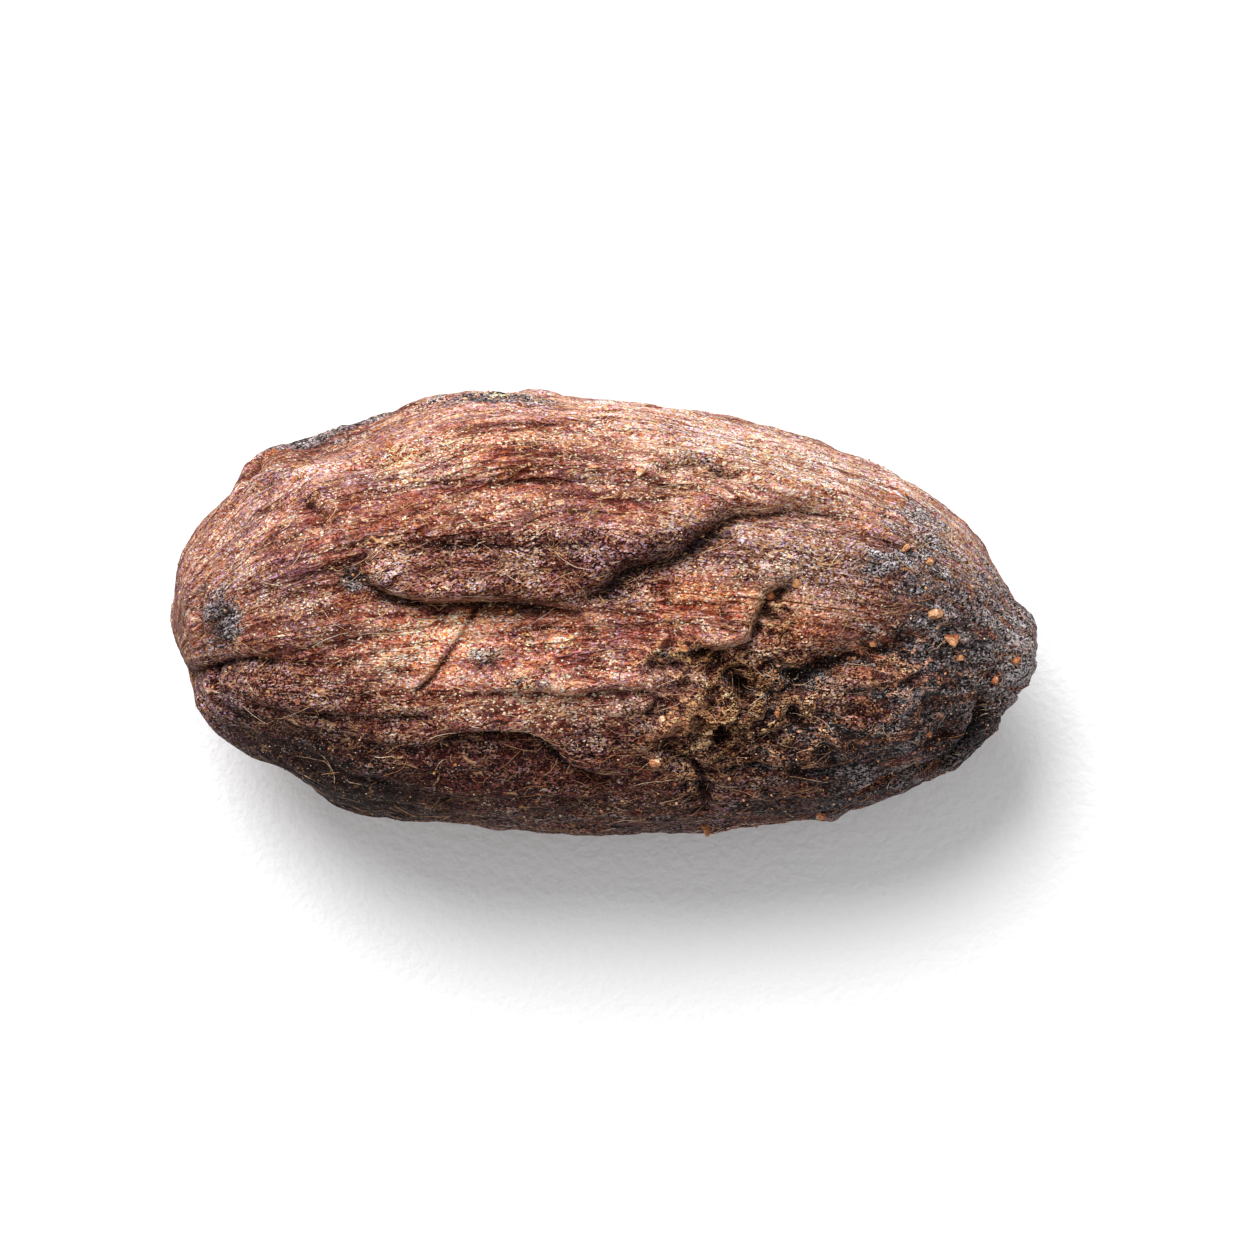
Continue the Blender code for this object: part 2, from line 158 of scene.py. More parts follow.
FOLDS = (
    # long fold under the lobe, and the fold that rises from its end
    Fold(((-7.3, 1.3), (-6.5, 0.66), (-5.0, 0.36), (-3.0, 0.4), (-1.7, 0.24), (-0.8, 0.05)),
         0.75, 0.2, 0.85, 0.42, 0.26),
    Fold(((-0.9, 0.1), (-0.2, 0.75), (0.5, 1.35), (1.8, 1.7), (2.6, 2.3), (3.3, 2.85),
          (4.6, 3.1), (5.4, 3.2), (6.5, 2.85), (7.4, 2.4)), 0.55, 0.25, 0.9, 0.26, 0.18),
    # long lines above it
    Fold(((-11.2, 0.4), (-9.0, 0.95), (-7.3, 1.6), (-5.8, 2.0), (-3.0, 1.98), (0.0, 1.98),
          (2.4, 1.85)), 0.13, 0.14, 0.4, 0.1),
    Fold(((-8.7, 3.25), (-7.0, 3.4), (-5.7, 3.8), (-3.5, 3.85), (-1.0, 3.9), (1.0, 3.75),
          (2.9, 3.6)), 0.17, 0.14, 0.5, 0.1),
    Fold(((0.9, 3.95), (1.6, 4.2), (2.2, 4.5), (3.2, 4.25), (4.0, 3.8), (5.0, 3.45)),
         0.2, 0.12, 0.45, 0.14),
    # below it: diagonal crack, groove at its end, lower fold, step between them
    Fold(((-5.9, -2.6), (-5.3, -2.0), (-4.8, -1.4), (-4.3, -0.65), (-3.85, 0.3)),
         0.24, 0.09, 0.17, 0.03, 0.05),
    Fold(((-0.95, 0.2), (-0.65, -0.35), (-0.3, -0.75)), 0.22, 0.16, 0.3, 0.05),
    Fold(((-5.2, -3.9), (-4.2, -3.45), (-3.1, -3.4), (-2.0, -3.62), (-1.3, -4.25),
          (-0.5, -4.6), (0.6, -4.8)), 0.46, 0.18, 0.6, 0.2, 0.16),
    Fold(((-4.1, -2.25), (-2.6, -2.2), (-1.2, -2.35), (0.2, -2.2), (1.8, -2.35)),
         0.16, 0.12, 0.3, 0.18),
    # blunt end
    Fold(((-12.0, -1.65), (-11.2, -1.4), (-10.3, -1.3), (-9.3, -1.32)), 0.4, 0.14, 0.32, 0.1),
    Fold(((-10.3, -1.12), (-9.2, -1.1), (-7.6, -0.7), (-6.0, -0.4)), 0.13, 0.14, 0.35, 0.1),
    Fold(((-10.6, -2.6), (-8.6, -2.95), (-6.4, -3.0), (-4.6, -2.95)), 0.16, 0.16, 0.5, 0.08),
    # crusted half
    Fold(((2.7, -5.9), (2.75, -5.1), (2.3, -4.35), (1.7, -4.0), (1.5, -3.5)),
         0.3, 0.3, 0.2, 0.0),
    Fold(((2.6, -1.35), (3.2, -1.65), (3.7, -2.1), (4.5, -2.3), (5.4, -2.1), (6.2, -1.5),
          (7.4, -1.2), (8.8, -0.8)), 0.5, 0.45, 0.35, 0.1),
    Fold(((2.0, -1.1), (3.3, -1.05), (3.95, -0.8), (4.2, -0.3), (4.3, 0.15), (4.7, 0.65),
          (5.5, 0.95)), 0.4, 0.18, 0.5, 0.24, 0.1),
    Fold(((1.0, -1.3), (1.5, -1.5), (2.0, -1.5)), 0.3, 0.2, 0.3, 0.1),
    # seam and nub
    Fold(((7.0, -5.2), (8.2, -4.75), (9.6, -4.25), (10.2, -3.75), (10.6, -2.9), (10.7, -2.0)),
         0.3, 0.35, 0.16, 0.0),
    Fold(((-8.4, 5.1), (-9.1, 4.6), (-9.9, 4.2), (-10.5, 3.6)), 0.2, 0.2, 0.1, 0.0),
    Fold(((11.15, -3.3), (11.35, -2.2), (11.25, -1.0), (11.0, 0.2)), 0.2, 0.2, 0.25, 0.1),
    # underside
    Fold(((8.6, 1.0), (5.0, 2.3), (1.0, 3.5), (-4.0, 3.9), (-8.0, 2.9)),
         0.32, 0.17, 0.6, 0.16, side=Side.UNDER),
    Fold(((-10.6, -1.0), (-7.6, -2.6), (-3.5, -4.2), (2.0, -4.3), (6.0, -3.4)),
         0.26, 0.16, 0.6, 0.14, side=Side.UNDER),
    Fold(((11.2, -1.5), (9.4, -1.0), (7.6, -0.3), (6.0, 0.0)),
         0.3, 0.2, 0.5, 0.12, side=Side.UNDER),
)

# Thin lines and ridges that only the fine surface has.
FINE_FOLDS = (
    Fold(((-4.1, 5.21), (-2.7, 5.35), (-1.2, 5.53), (-0.2, 5.41), (1.05, 5.15), (2.2, 4.95)),
         0.06, 0.07, 0.25, 0.05),
    Fold(((-5.7, 4.66), (-3.6, 4.92), (-2.4, 4.9), (-1.2, 4.6)), 0.06, 0.06, 0.2, 0.05),
    Fold(((-10.4, 1.9), (-9.2, 2.2), (-8.2, 2.6), (-7.2, 2.75)), 0.07, 0.08, 0.25, 0.05),
    Fold(((-10.9, 3.2), (-9.8, 3.75), (-8.1, 4.1), (-6.4, 4.5), (-5.0, 4.75)),
         0.08, 0.1, 0.25, 0.06),
    Fold(((-11.2, 2.3), (-10.2, 2.9), (-9.0, 3.25), (-7.9, 3.5)), 0.07, 0.1, 0.25, 0.06),
    Fold(((-8.9, -1.35), (-7.6, -0.85), (-6.2, -0.5), (-4.9, -0.35)), 0.06, 0.08, 0.18, 0.05),
    Fold(((-8.0, -1.45), (-6.9, -1.15), (-5.8, -0.85), (-4.9, -0.75)), 0.06, 0.08, 0.18, 0.05),
    Fold(((-7.4, -1.9), (-6.6, -1.6), (-6.0, -1.2), (-5.2, -1.1)), 0.05, 0.08, 0.16, 0.05),
    Fold(((-7.3, -2.6), (-6.9, -2.0), (-6.2, -1.6), (-5.6, -1.45)), 0.06, 0.08, 0.16, 0.06),
    Fold(((-9.9, 0.3), (-8.6, 0.7), (-7.4, 0.85)), 0.07, 0.08, 0.25, 0.05),
    Fold(((-6.6, -0.1), (-5.6, 0.0), (-4.6, 0.0)), 0.06, 0.06, 0.18, 0.04),
    Fold(((-7.0, -1.2), (-6.2, -1.0), (-5.4, -0.9)), 0.05, 0.06, 0.18, 0.04),
    Fold(((-3.3, -0.45), (-1.9, -0.35), (-0.8, -0.45)), 0.06, 0.06, 0.18, 0.05),
    Fold(((0.2, -0.45), (1.6, -0.2), (3.0, -0.25)), 0.05, 0.06, 0.18, 0.04),
    Fold(((0.3, 0.15), (1.5, 0.35), (2.9, 0.3), (3.9, 0.5)), 0.06, 0.06, 0.18, 0.06),
    Fold(((-0.9, -2.85), (0.3, -2.9), (1.3, -2.8)), 0.06, 0.06, 0.2, 0.05),
    Fold(((-7.6, -3.6), (-6.2, -3.85), (-5.0, -3.75)), 0.1, 0.1, 0.3, 0.08),
    Fold(((-8.0, -4.3), (-6.0, -4.9), (-3.0, -5.3), (0.5, -5.35)), 0.08, 0.1, 0.4, 0.06),
    Fold(((2.9, -4.6), (4.4, -4.4), (5.9, -4.5), (7.2, -4.2)), 0.1, 0.1, 0.35, 0.08),
    Fold(((6.3, 1.6), (7.6, 1.3), (8.8, 0.6)), 0.07, 0.1, 0.3, 0.07),
    Fold(((5.6, 2.4), (7.2, 2.3), (8.6, 1.7)), 0.08, 0.1, 0.3, 0.07),
    Fold(((3.4, 1.9), (4.8, 1.9), (5.9, 1.6)), 0.07, 0.1, 0.3, 0.07),
    Fold(((-8.8, 3.2), (-8.4, 3.05), (-8.0, 2.7)), 0.26, 0.12, 0.22, 0.14),
    # the seam's rim at the pointed end, doubled, and the notch under the nub
    Fold(((10.2, -4.6), (10.9, -3.9), (11.25, -3.1), (11.3, -2.2)), 0.12, 0.12, 0.2, 0.08),
    Fold(((12.5, -2.0), (12.0, -2.2), (11.5, -2.15)), 0.45, 0.1, 0.16, 0.1),
    # the deep groove inside the seam at the pointed end
    Fold(((8.9, -4.6), (9.6, -4.25), (10.15, -3.8), (10.45, -3.35), (10.66, -2.8), (10.75, -2.2)),
         0.7, 0.18, 0.3, 0.16, 0.14),
    # the seam's lip at the blunt end
    Fold(((-10.6, 3.4), (-10.1, 4.0), (-9.65, 4.5), (-9.1, 4.75), (-8.4, 5.05)),
         0.14, 0.12, 0.14, 0.04),
    # the rim at the blunt end
    Fold(((-11.6, 1.3), (-11.75, -0.2), (-11.6, -1.5), (-11.1, -2.7)), 0.14, 0.12, 0.25, 0.1),
)

FINE_RIDGES = (
    # a raised tab, and strands of skin over the mould
    Ridge(((-3.8, -2.35), (-3.4, -2.07), (-2.84, -1.97), (-2.57, -1.65), (-2.2, -1.59),
           (-1.95, -1.95), (-1.9, -2.3)), 0.12, 0.13),
    Ridge(((6.4, -1.75), (7.0, -1.95), (7.9, -1.88), (8.6, -1.6), (9.0, -1.3)), 0.12, 0.11),
    Ridge(((7.1, -1.15), (7.7, -1.25), (8.3, -1.35)), 0.1, 0.1),
    Ridge(((7.6, -1.62), (8.3, -1.7), (8.9, -1.48)), 0.1, 0.1),
    Ridge(((9.1, -4.95), (10.2, -4.4), (10.9, -3.8), (11.15, -3.1), (11.18, -2.1), (11.1, -0.8)),
          0.1, 0.1),
    Ridge(((11.3, -3.0), (11.5, -2.0), (11.47, -0.8)), 0.07, 0.09),
    Ridge(((-8.6, 0.55), (-8.0, 0.9), (-7.2, 0.85), (-6.7, 0.55)), 0.08, 0.1),
)

RIDGES = (
    Ridge(((1.4, -3.6), (1.6, -3.05), (2.1, -2.55), (2.8, -2.2)), 0.34, 0.26),
    Ridge(((2.0, -3.1), (3.2, -2.95), (4.6, -2.7), (5.4, -2.5), (6.6, -1.95), (8.0, -1.8)),
          0.24, 0.26),
    Ridge(((5.8, -3.2), (6.45, -3.65), (6.6, -4.1)), 0.22, 0.2),
    Ridge(((-12.0, 1.0), (-11.9, -0.4), (-11.75, -1.5), (-11.3, -2.7), (-10.4, -3.6)),
          0.16, 0.25),
    Ridge(((-5.5, 6.0), (-4.0, 6.15), (-2.1, 6.2)), 0.17, 0.38),
    Ridge(((11.0, 0.4), (11.2, -0.8), (11.3, -2.0)), 0.14, 0.25),
)

MOUNDS = (
    Mound((-3.2, 1.15), 4.2, 1.0, 0.3, 1.0),  # lobe
    Mound((0.9, 2.5), 2.4, 0.9, 0.2, 28.0),
    Mound((5.0, -1.5), 1.9, 0.6, -0.25, 8.0),  # slope above the valley
    Mound((-2.35, -1.85), 0.42, 0.34, 0.16, squareness=4.0),
    Mound((2.2, 0.7), 1.8, 0.7, 0.2, 20.0),
    Mound((-8.3, -0.1), 2.6, 0.9, 0.16, 8.0),
    Mound((-3.0, -1.0), 2.2, 1.0, 0.16, -6.0),
    Mound((7.4, -3.2), 2.4, 1.2, 0.22, 24.0),
    Mound((8.2, 1.2), 2.0, 1.2, 0.15, -30.0),
    Mound((12.0, -1.0), 1.1, 1.25, 0.55, squareness=4.0),  # nub
    Mound((-9.9, 4.1), 1.3, 0.7, 0.34, 38.0, 4.0),
    Mound((-12.1, -0.1), 0.8, 0.62, 0.34, side=Side.UNDER),
    Mound((3.5, -0.6), 2.6, 1.4, 0.1, 15.0, side=Side.UNDER),
    # the outline's small turns, which the solid leaves out
    Mound((-10.2, 4.5), 1.0, 0.8, 0.42, 40.0, 3.0),
    Mound((-11.7, 2.5), 1.2, 0.8, 0.2, 60.0),
    Mound((-8.1, 5.15), 1.9, 0.8, 0.42, 19.0, 3.0),
    Mound((-12.4, 0.5), 0.9, 2.0, 0.34, 0.0, 3.0),
    Mound((-11.8, -2.6), 0.8, 1.0, 0.12, 20.0),
    Mound((-11.2, -3.2), 1.4, 0.8, 0.28, -50.0),
    Mound((-7.2, -5.8), 1.3, 0.9, 0.2, -15.0),
    Mound((8.7, -5.1), 0.8, 0.6, -0.17, 20.0),
    Mound((-8.9, -4.8), 0.9, 0.6, -0.18, -30.0),
    Mound((-2.0, 6.35), 0.55, 0.4, 0.2, 0.0, 3.0),
    Mound((-5.5, 6.1), 0.6, 0.5, 0.14, 20.0, 3.0),
    Mound((0.9, 6.1), 1.1, 0.6, 0.1),
    Mound((7.6, 4.4), 0.8, 0.5, 0.1, -25.0),
    Mound((-1.7, -6.3), 1.6, 0.6, 0.2),
    Mound((3.7, -6.2), 0.5, 0.4, 0.12),
    Mound((11.3, -3.6), 0.8, 0.7, -0.14, -50.0),
    Mound((9.6, -5.0), 1.0, 0.5, -0.08, 30.0),
    Mound((9.75, -3.45), 0.9, 0.5, -0.22, 48.0),
    Mound((11.2, 1.4), 1.0, 0.7, -0.16, -60.0),
    Mound((11.9, 0.1), 0.6, 0.5, 0.07),
    Mound((9.6, 3.2), 1.3, 0.8, -0.15, -35.0),
    # crumbs that stand out from the seam and the shell
    Mound((2.95, -6.25), 0.32, 0.3, 0.22),
    Mound((6.35, -5.85), 0.42, 0.3, 0.24),
    Mound((1.42, -4.3), 0.26, 0.26, 0.2),
    Mound((9.38, -0.07), 0.3, 0.28, 0.26),
    Mound((10.0, -0.75), 0.36, 0.26, 0.24, 30.0),
)

PATCHES = {
    # grey and black mould over the pointed end, the seam and in blotches
    Mark.MOULD: (
        Patch((9.9, -1.9), 3.1, 3.6, 0.0, 0.95), Patch((7.2, -3.9), 3.2, 1.9, 14.0, 0.8),
        Patch((5.2, -1.9), 1.9, 0.6, 6.0, 0.7), Patch((9.0, 2.4), 1.7, 1.3, -40.0, 0.55),
        Patch((2.6, -4.9), 1.6, 0.8, 0.0, 0.45), Patch((-7.8, 5.1), 2.2, 1.0, 24.0, 1.0),
        Patch((-11.2, -0.1), 0.7, 0.9, 0.0, 0.95), Patch((-8.0, -4.2), 2.6, 0.8, -22.0, 0.35),
        Patch((-3.4, 6.2), 2.2, 0.6, 0.0, 0.8), Patch((-3.5, -1.25), 0.6, 0.45, 0.0, 0.75),
        Patch((-2.4, -0.65), 0.5, 0.4, 0.0, 0.6), Patch((-2.3, -1.95), 0.5, 0.3, 0.0, 0.6),
        Patch((-7.4, 1.05), 0.5, 0.4, 0.0, 0.95), Patch((1.7, -1.2), 0.9, 0.35, 0.0, 0.6),
        Patch((2.6, 4.4), 1.5, 0.3, 0.0, 0.4), Patch((8.0, -2.0), 5.0, 4.6, 0.0, 0.6, Side.UNDER),
        Patch((-8.0, 2.0), 2.4, 1.6, 20.0, 0.5, Side.UNDER),
        Patch((11.8, -1.0), 1.7, 2.6, 0.0, 0.95), Patch((8.6, 1.2), 1.9, 1.5, -20.0, 0.62),
        Patch((10.6, -3.8), 1.8, 3.0, 40.0, 0.9), Patch((6.6, -5.4), 4.2, 1.5, 10.0, 0.75),
        Patch((0.5, -6.2), 4.0, 1.2, 0.0, 0.4),
    ),
    # orange brown where the skin is thin
    Mark.RUST: (
        Patch((-6.1, 4.6), 0.8, 0.6), Patch((2.8, 0.5), 1.7, 0.6, 0.0, 0.9),
        Patch((5.5, -0.2), 0.6, 0.5, 0.0, 0.9), Patch((8.15, -1.5), 0.45, 0.25, 0.0, 0.9),
        Patch((-3.2, 0.2), 0.4, 0.25, -20.0, 1.0), Patch((-4.5, -0.7), 1.5, 1.1, 30.0, 0.65),
        Patch((-1.2, -0.35), 1.4, 0.6, 0.0, 0.55), Patch((-3.3, 5.0), 2.4, 0.7, 0.0, 0.4),
        Patch((2.3, -3.0), 0.8, 0.6, 0.0, 0.8), Patch((-3.0, 3.0), 4.0, 0.8, 0.0, 0.3),
    ),
    # wine red where it is scraped or damp
    Mark.WINE: (
        Patch((3.5, -3.5), 0.8, 0.5, 0.0, 0.9), Patch((-5.9, -3.7), 1.2, 0.5, 0.0, 0.7),
        Patch((-3.0, -4.8), 6.5, 1.9, 0.0, 0.9), Patch((-8.0, -1.9), 1.5, 0.6, 0.0, 0.4),
        Patch((2.0, 2.3), 1.2, 0.5, 25.0, 0.5), Patch((-9.5, 2.2), 2.0, 1.2, 40.0, 0.35),
        Patch((3.6, -4.1), 1.5, 0.9, 0.0, 0.9), Patch((-8.4, -4.4), 3.2, 1.8, -25.0, 0.7),
    ),
    # crust of dried pulp
    Mark.CRUST: (
        Patch((-6.15, 4.6), 0.6, 0.4), Patch((3.6, -2.9), 2.7, 1.9),
        Patch((2.2, -1.2), 1.5, 0.5, 0.0, 0.9), Patch((4.6, -0.1), 0.8, 0.9, 0.0, 0.8),
        Patch((-2.4, -0.7), 0.6, 0.5, 0.0, 0.5), Patch((-2.4, -1.9), 0.7, 0.4, 0.0, 0.6),
        Patch((2.5, -4.9), 0.6, 1.2, 0.0, 0.8), Patch((8.0, -1.9), 2.3, 2.0, 0.0, 0.4),
        Patch((3.2, 4.2), 1.6, 0.35, -10.0, 0.4), Patch((-3.2, 6.2), 1.6, 0.35, 0.0, 0.6),
    ),
    # greyed pink where the skin is rubbed, and painted sheen along the upper edge, which faces the
    # lamp
    Mark.PALE_AND_SHEEN: (
        Patch((-8.7, 4.0), 1.4, 0.5, 20.0, 1.0), Patch((-9.9, 4.6), 1.2, 0.35, 40.0, 0.9),
        Patch((4.6, 5.0), 6.5, 2.2, -17.0, 1.0), Patch((9.6, 2.4), 3.0, 2.2, -48.0, 1.0),
        Patch((-1.0, 6.1), 5.5, 1.5, -2.0, 0.8), Patch((-6.5, 5.0), 3.0, 1.2, 20.0, 0.5),
        Patch((-10.9, 1.6), 1.2, 2.6, -20.0, 0.6), Patch((5.2, 1.7), 3.0, 1.3, -8.0, 0.9),
    ),
    # how light the skin is against its usual, as a natural logarithm: partly its own tone, partly
    # painted light along the upper edge that faces the lamp and painted shade over the lower side
    # that faces away and in the seam's deep groove
    Mark.TONE_LIGHT_AND_SHADE: (
        Patch((-7.8, 5.1), 2.0, 0.9, 24.0, 0.8), Patch((-6.1, 4.6), 0.7, 0.5, 0.0, 0.4),
        Patch((-8.7, 4.0), 1.3, 0.5, 20.0, 0.35), Patch((4.2, -3.6), 2.4, 1.8, 0.0, -0.55),
        Patch((2.3, -3.0), 0.7, 0.45, 20.0, 0.6), Patch((4.8, 4.9), 6.5, 2.4, -18.0, 0.58),
        Patch((9.6, 2.4), 2.6, 2.0, -48.0, 0.5), Patch((-1.0, 6.1), 5.0, 1.6, -2.0, 0.46),
        Patch((-7.5, 3.9), 4.0, 1.6, 25.0, 0.35), Patch((-11.0, 1.5), 1.4, 2.4, -20.0, 0.4),
        Patch((-5.0, -0.8), 2.1, 1.2, 25.0, 0.75), Patch((-1.2, -1.5), 3.0, 1.6, 0.0, 0.68),
        Patch((2.8, 0.4), 2.0, 0.7, 0.0, 0.52), Patch((-2.6, 1.3), 4.6, 1.1, 0.0, -0.95),
        Patch((10.15, -3.8), 1.1, 0.5, 48.0, -3.0), Patch((-9.2, -0.6), 2.4, 1.6, 0.0, -0.1),
        Patch((1.4, 1.6), 2.0, 0.7, 35.0, -0.5), Patch((4.8, -1.8), 2.6, 1.0, 8.0, -0.75),
        Patch((7.4, -4.0), 3.6, 2.6, 14.0, -0.25), Patch((-1.5, -6.0), 9.5, 4.0, 0.0, -1.1),
        Patch((-8.4, -4.7), 3.8, 2.4, -25.0, -1.9), Patch((11.9, -1.0), 1.1, 1.9, 0.0, 1.3),
        Patch((5.6, 1.4), 2.8, 1.1, -8.0, -0.3), Patch((8.8, 1.0), 1.8, 1.4, -20.0, -0.3),
        Patch((-2.9, -3.9), 2.4, 0.7, 0.0, -0.4),
        Patch((0.0, -1.0), 9.0, 5.0, 0.0, -0.5, Side.UNDER),
    ),
    # tan dust of fine pulp
    Mark.DUST: (
        Patch((11.6, -1.2), 1.2, 2.2, 0.0, 0.8), Patch((-2.2, 1.4), 4.6, 1.1, 0.0, 0.35),
        Patch((3.0, 4.2), 6.0, 1.6, -12.0, 0.8), Patch((-2.0, -2.6), 3.4, 1.2, -4.0, 0.8),
        Patch((4.0, -2.6), 3.0, 2.2, 0.0, 0.6), Patch((5.0, 1.2), 2.6, 1.4, 0.0, 0.6),
        Patch((-6.0, 4.4), 1.4, 0.9), Patch((-5.6, -0.9), 3.6, 1.2, 10.0, 0.6),
        Patch((0.4, -5.6), 4.0, 0.8, 0.0, 0.3),
    ),
}


# Helpers for routes and meshes


def smooth_route(points: np.ndarray | Sequence[Sequence[float]], step: float) -> np.ndarray:
    """Draws a Catmull-Rom curve through points.

    Args:
        points: the points of the route, in order.
        step: the distance between the curve's points, about.

    Returns:
        The curve's points, one a row.
    """
    points = np.asarray(points, float)
    ends = (2 * points[0] - points[1], 2 * points[-1] - points[-2])
    padded = np.vstack([ends[0], points, ends[1]])
    pieces = []
    for a, b, c, d in zip(padded, padded[1:], padded[2:], padded[3:]):
        count = max(2, int(np.linalg.norm(c - b) / step))
        t = np.linspace(0, 1, count, endpoint=False)[:, None]
        pieces.append(
            0.5 * (2 * b + (c - a) * t + (2 * a - 5 * b + 4 * c - d) * t**2
                   + (3 * b - a - 3 * c + d) * t**3)
        )
    return np.vstack([*pieces, points[-1:]])


def nearest_on_route(
    points: np.ndarray, route: np.ndarray
) -> tuple[np.ndarray, np.ndarray, np.ndarray, np.ndarray]:
    """Finds the place on a route nearest to each point.

    Args:
        points: the points, one a row.
        route: the route's points, one a row.

    Returns:
        The distance, the place, the heading there, and how far along it is from 0 to 1.
    """
    starts, runs = route[:-1], np.diff(route, axis=0)
    lengths = np.linalg.norm(runs, axis=1)
    away = points[:, None] - starts
    share = np.clip((away * runs).sum(2) / lengths**2, 0, 1)
    gaps = np.linalg.norm(away - share[..., None] * runs, axis=2)
    best = gaps.argmin(1)
    rows = np.arange(len(points))
    place = starts[best] + share[rows, best, None] * runs[best]
    along = np.concatenate([[0], lengths.cumsum()])[best] + share[rows, best] * lengths[best]
    return gaps[rows, best], place, runs[best] / lengths[best, None], along / lengths.sum()


def fade_at_ends(along: np.ndarray) -> np.ndarray:
    """Gives 1 along the middle of a route, falling to 0 at both ends."""
    return np.clip(np.minimum(along, 1 - along) / ROUTE_END, 0, 1) ** 0.7


def read_vectors(items: bpy.types.bpy_prop_collection, name: str) -> np.ndarray:
    """Reads a vector property of every item, one a row."""
    values = np.empty(len(items) * 3, np.float32)
    items.foreach_get(name, values)
    return values.reshape(-1, 3).astype(float)


def move_vertices(mesh: bpy.types.Mesh, points: np.ndarray) -> None:
    """Puts the mesh's vertices at these points."""
    mesh.vertices.foreach_set("co", points.astype(np.float32).ravel())
    mesh.update()


def put_attribute(mesh: bpy.types.Mesh, name: str, values: np.ndarray) -> None:
    """Stores a number or a vector for every vertex.

    Args:
        mesh: the mesh that gets it.
        name: the attribute's name.
        values: one number or one row of three for each vertex.
    """
    vector = values.ndim == 2
    layer = mesh.attributes.new(name, "FLOAT_VECTOR" if vector else "FLOAT", "POINT")
    layer.data.foreach_set("vector" if vector else "value", values.astype(np.float32).ravel())


def mesh_of(
    name: str, points: np.ndarray, faces: np.ndarray, tint: np.ndarray | None = None,
    rounded: bool = True,
) -> bpy.types.Object:
    """Makes an object in the scene from points and faces of one size.

    Args:
        name: the object's name.
        points: the vertices, one a row.
        faces: vertex numbers, one face a row.
        tint: a number for each vertex, kept as the attribute tint.
        rounded: whether the light runs smoothly over its edges.

    Returns:
        The object.
    """
    mesh = bpy.data.meshes.new(name)
    mesh.from_pydata(points.tolist(), [], faces.tolist())
    if tint is not None:
        put_attribute(mesh, "tint", tint)
    if rounded:
        mesh.shade_smooth()
    obj = bpy.data.objects.new(name, mesh)
    bpy.context.scene.collection.objects.link(obj)
    return obj


def unit_ball(subdivisions: int) -> tuple[np.ndarray, np.ndarray]:
    """Makes a round of triangles with a radius of 1.

    Args:
        subdivisions: how often an icosahedron's facets are split, plus one.

    Returns:
        The points, then the vertex numbers of each face, one a row.
    """
    ball = bmesh.new()
    bmesh.ops.create_icosphere(ball, subdivisions=subdivisions, radius=1.0)
    points = np.array([v.co for v in ball.verts])
    faces = np.array([[v.index for v in f.verts] for f in ball.faces])
    ball.free()
    return points, faces


# The shell


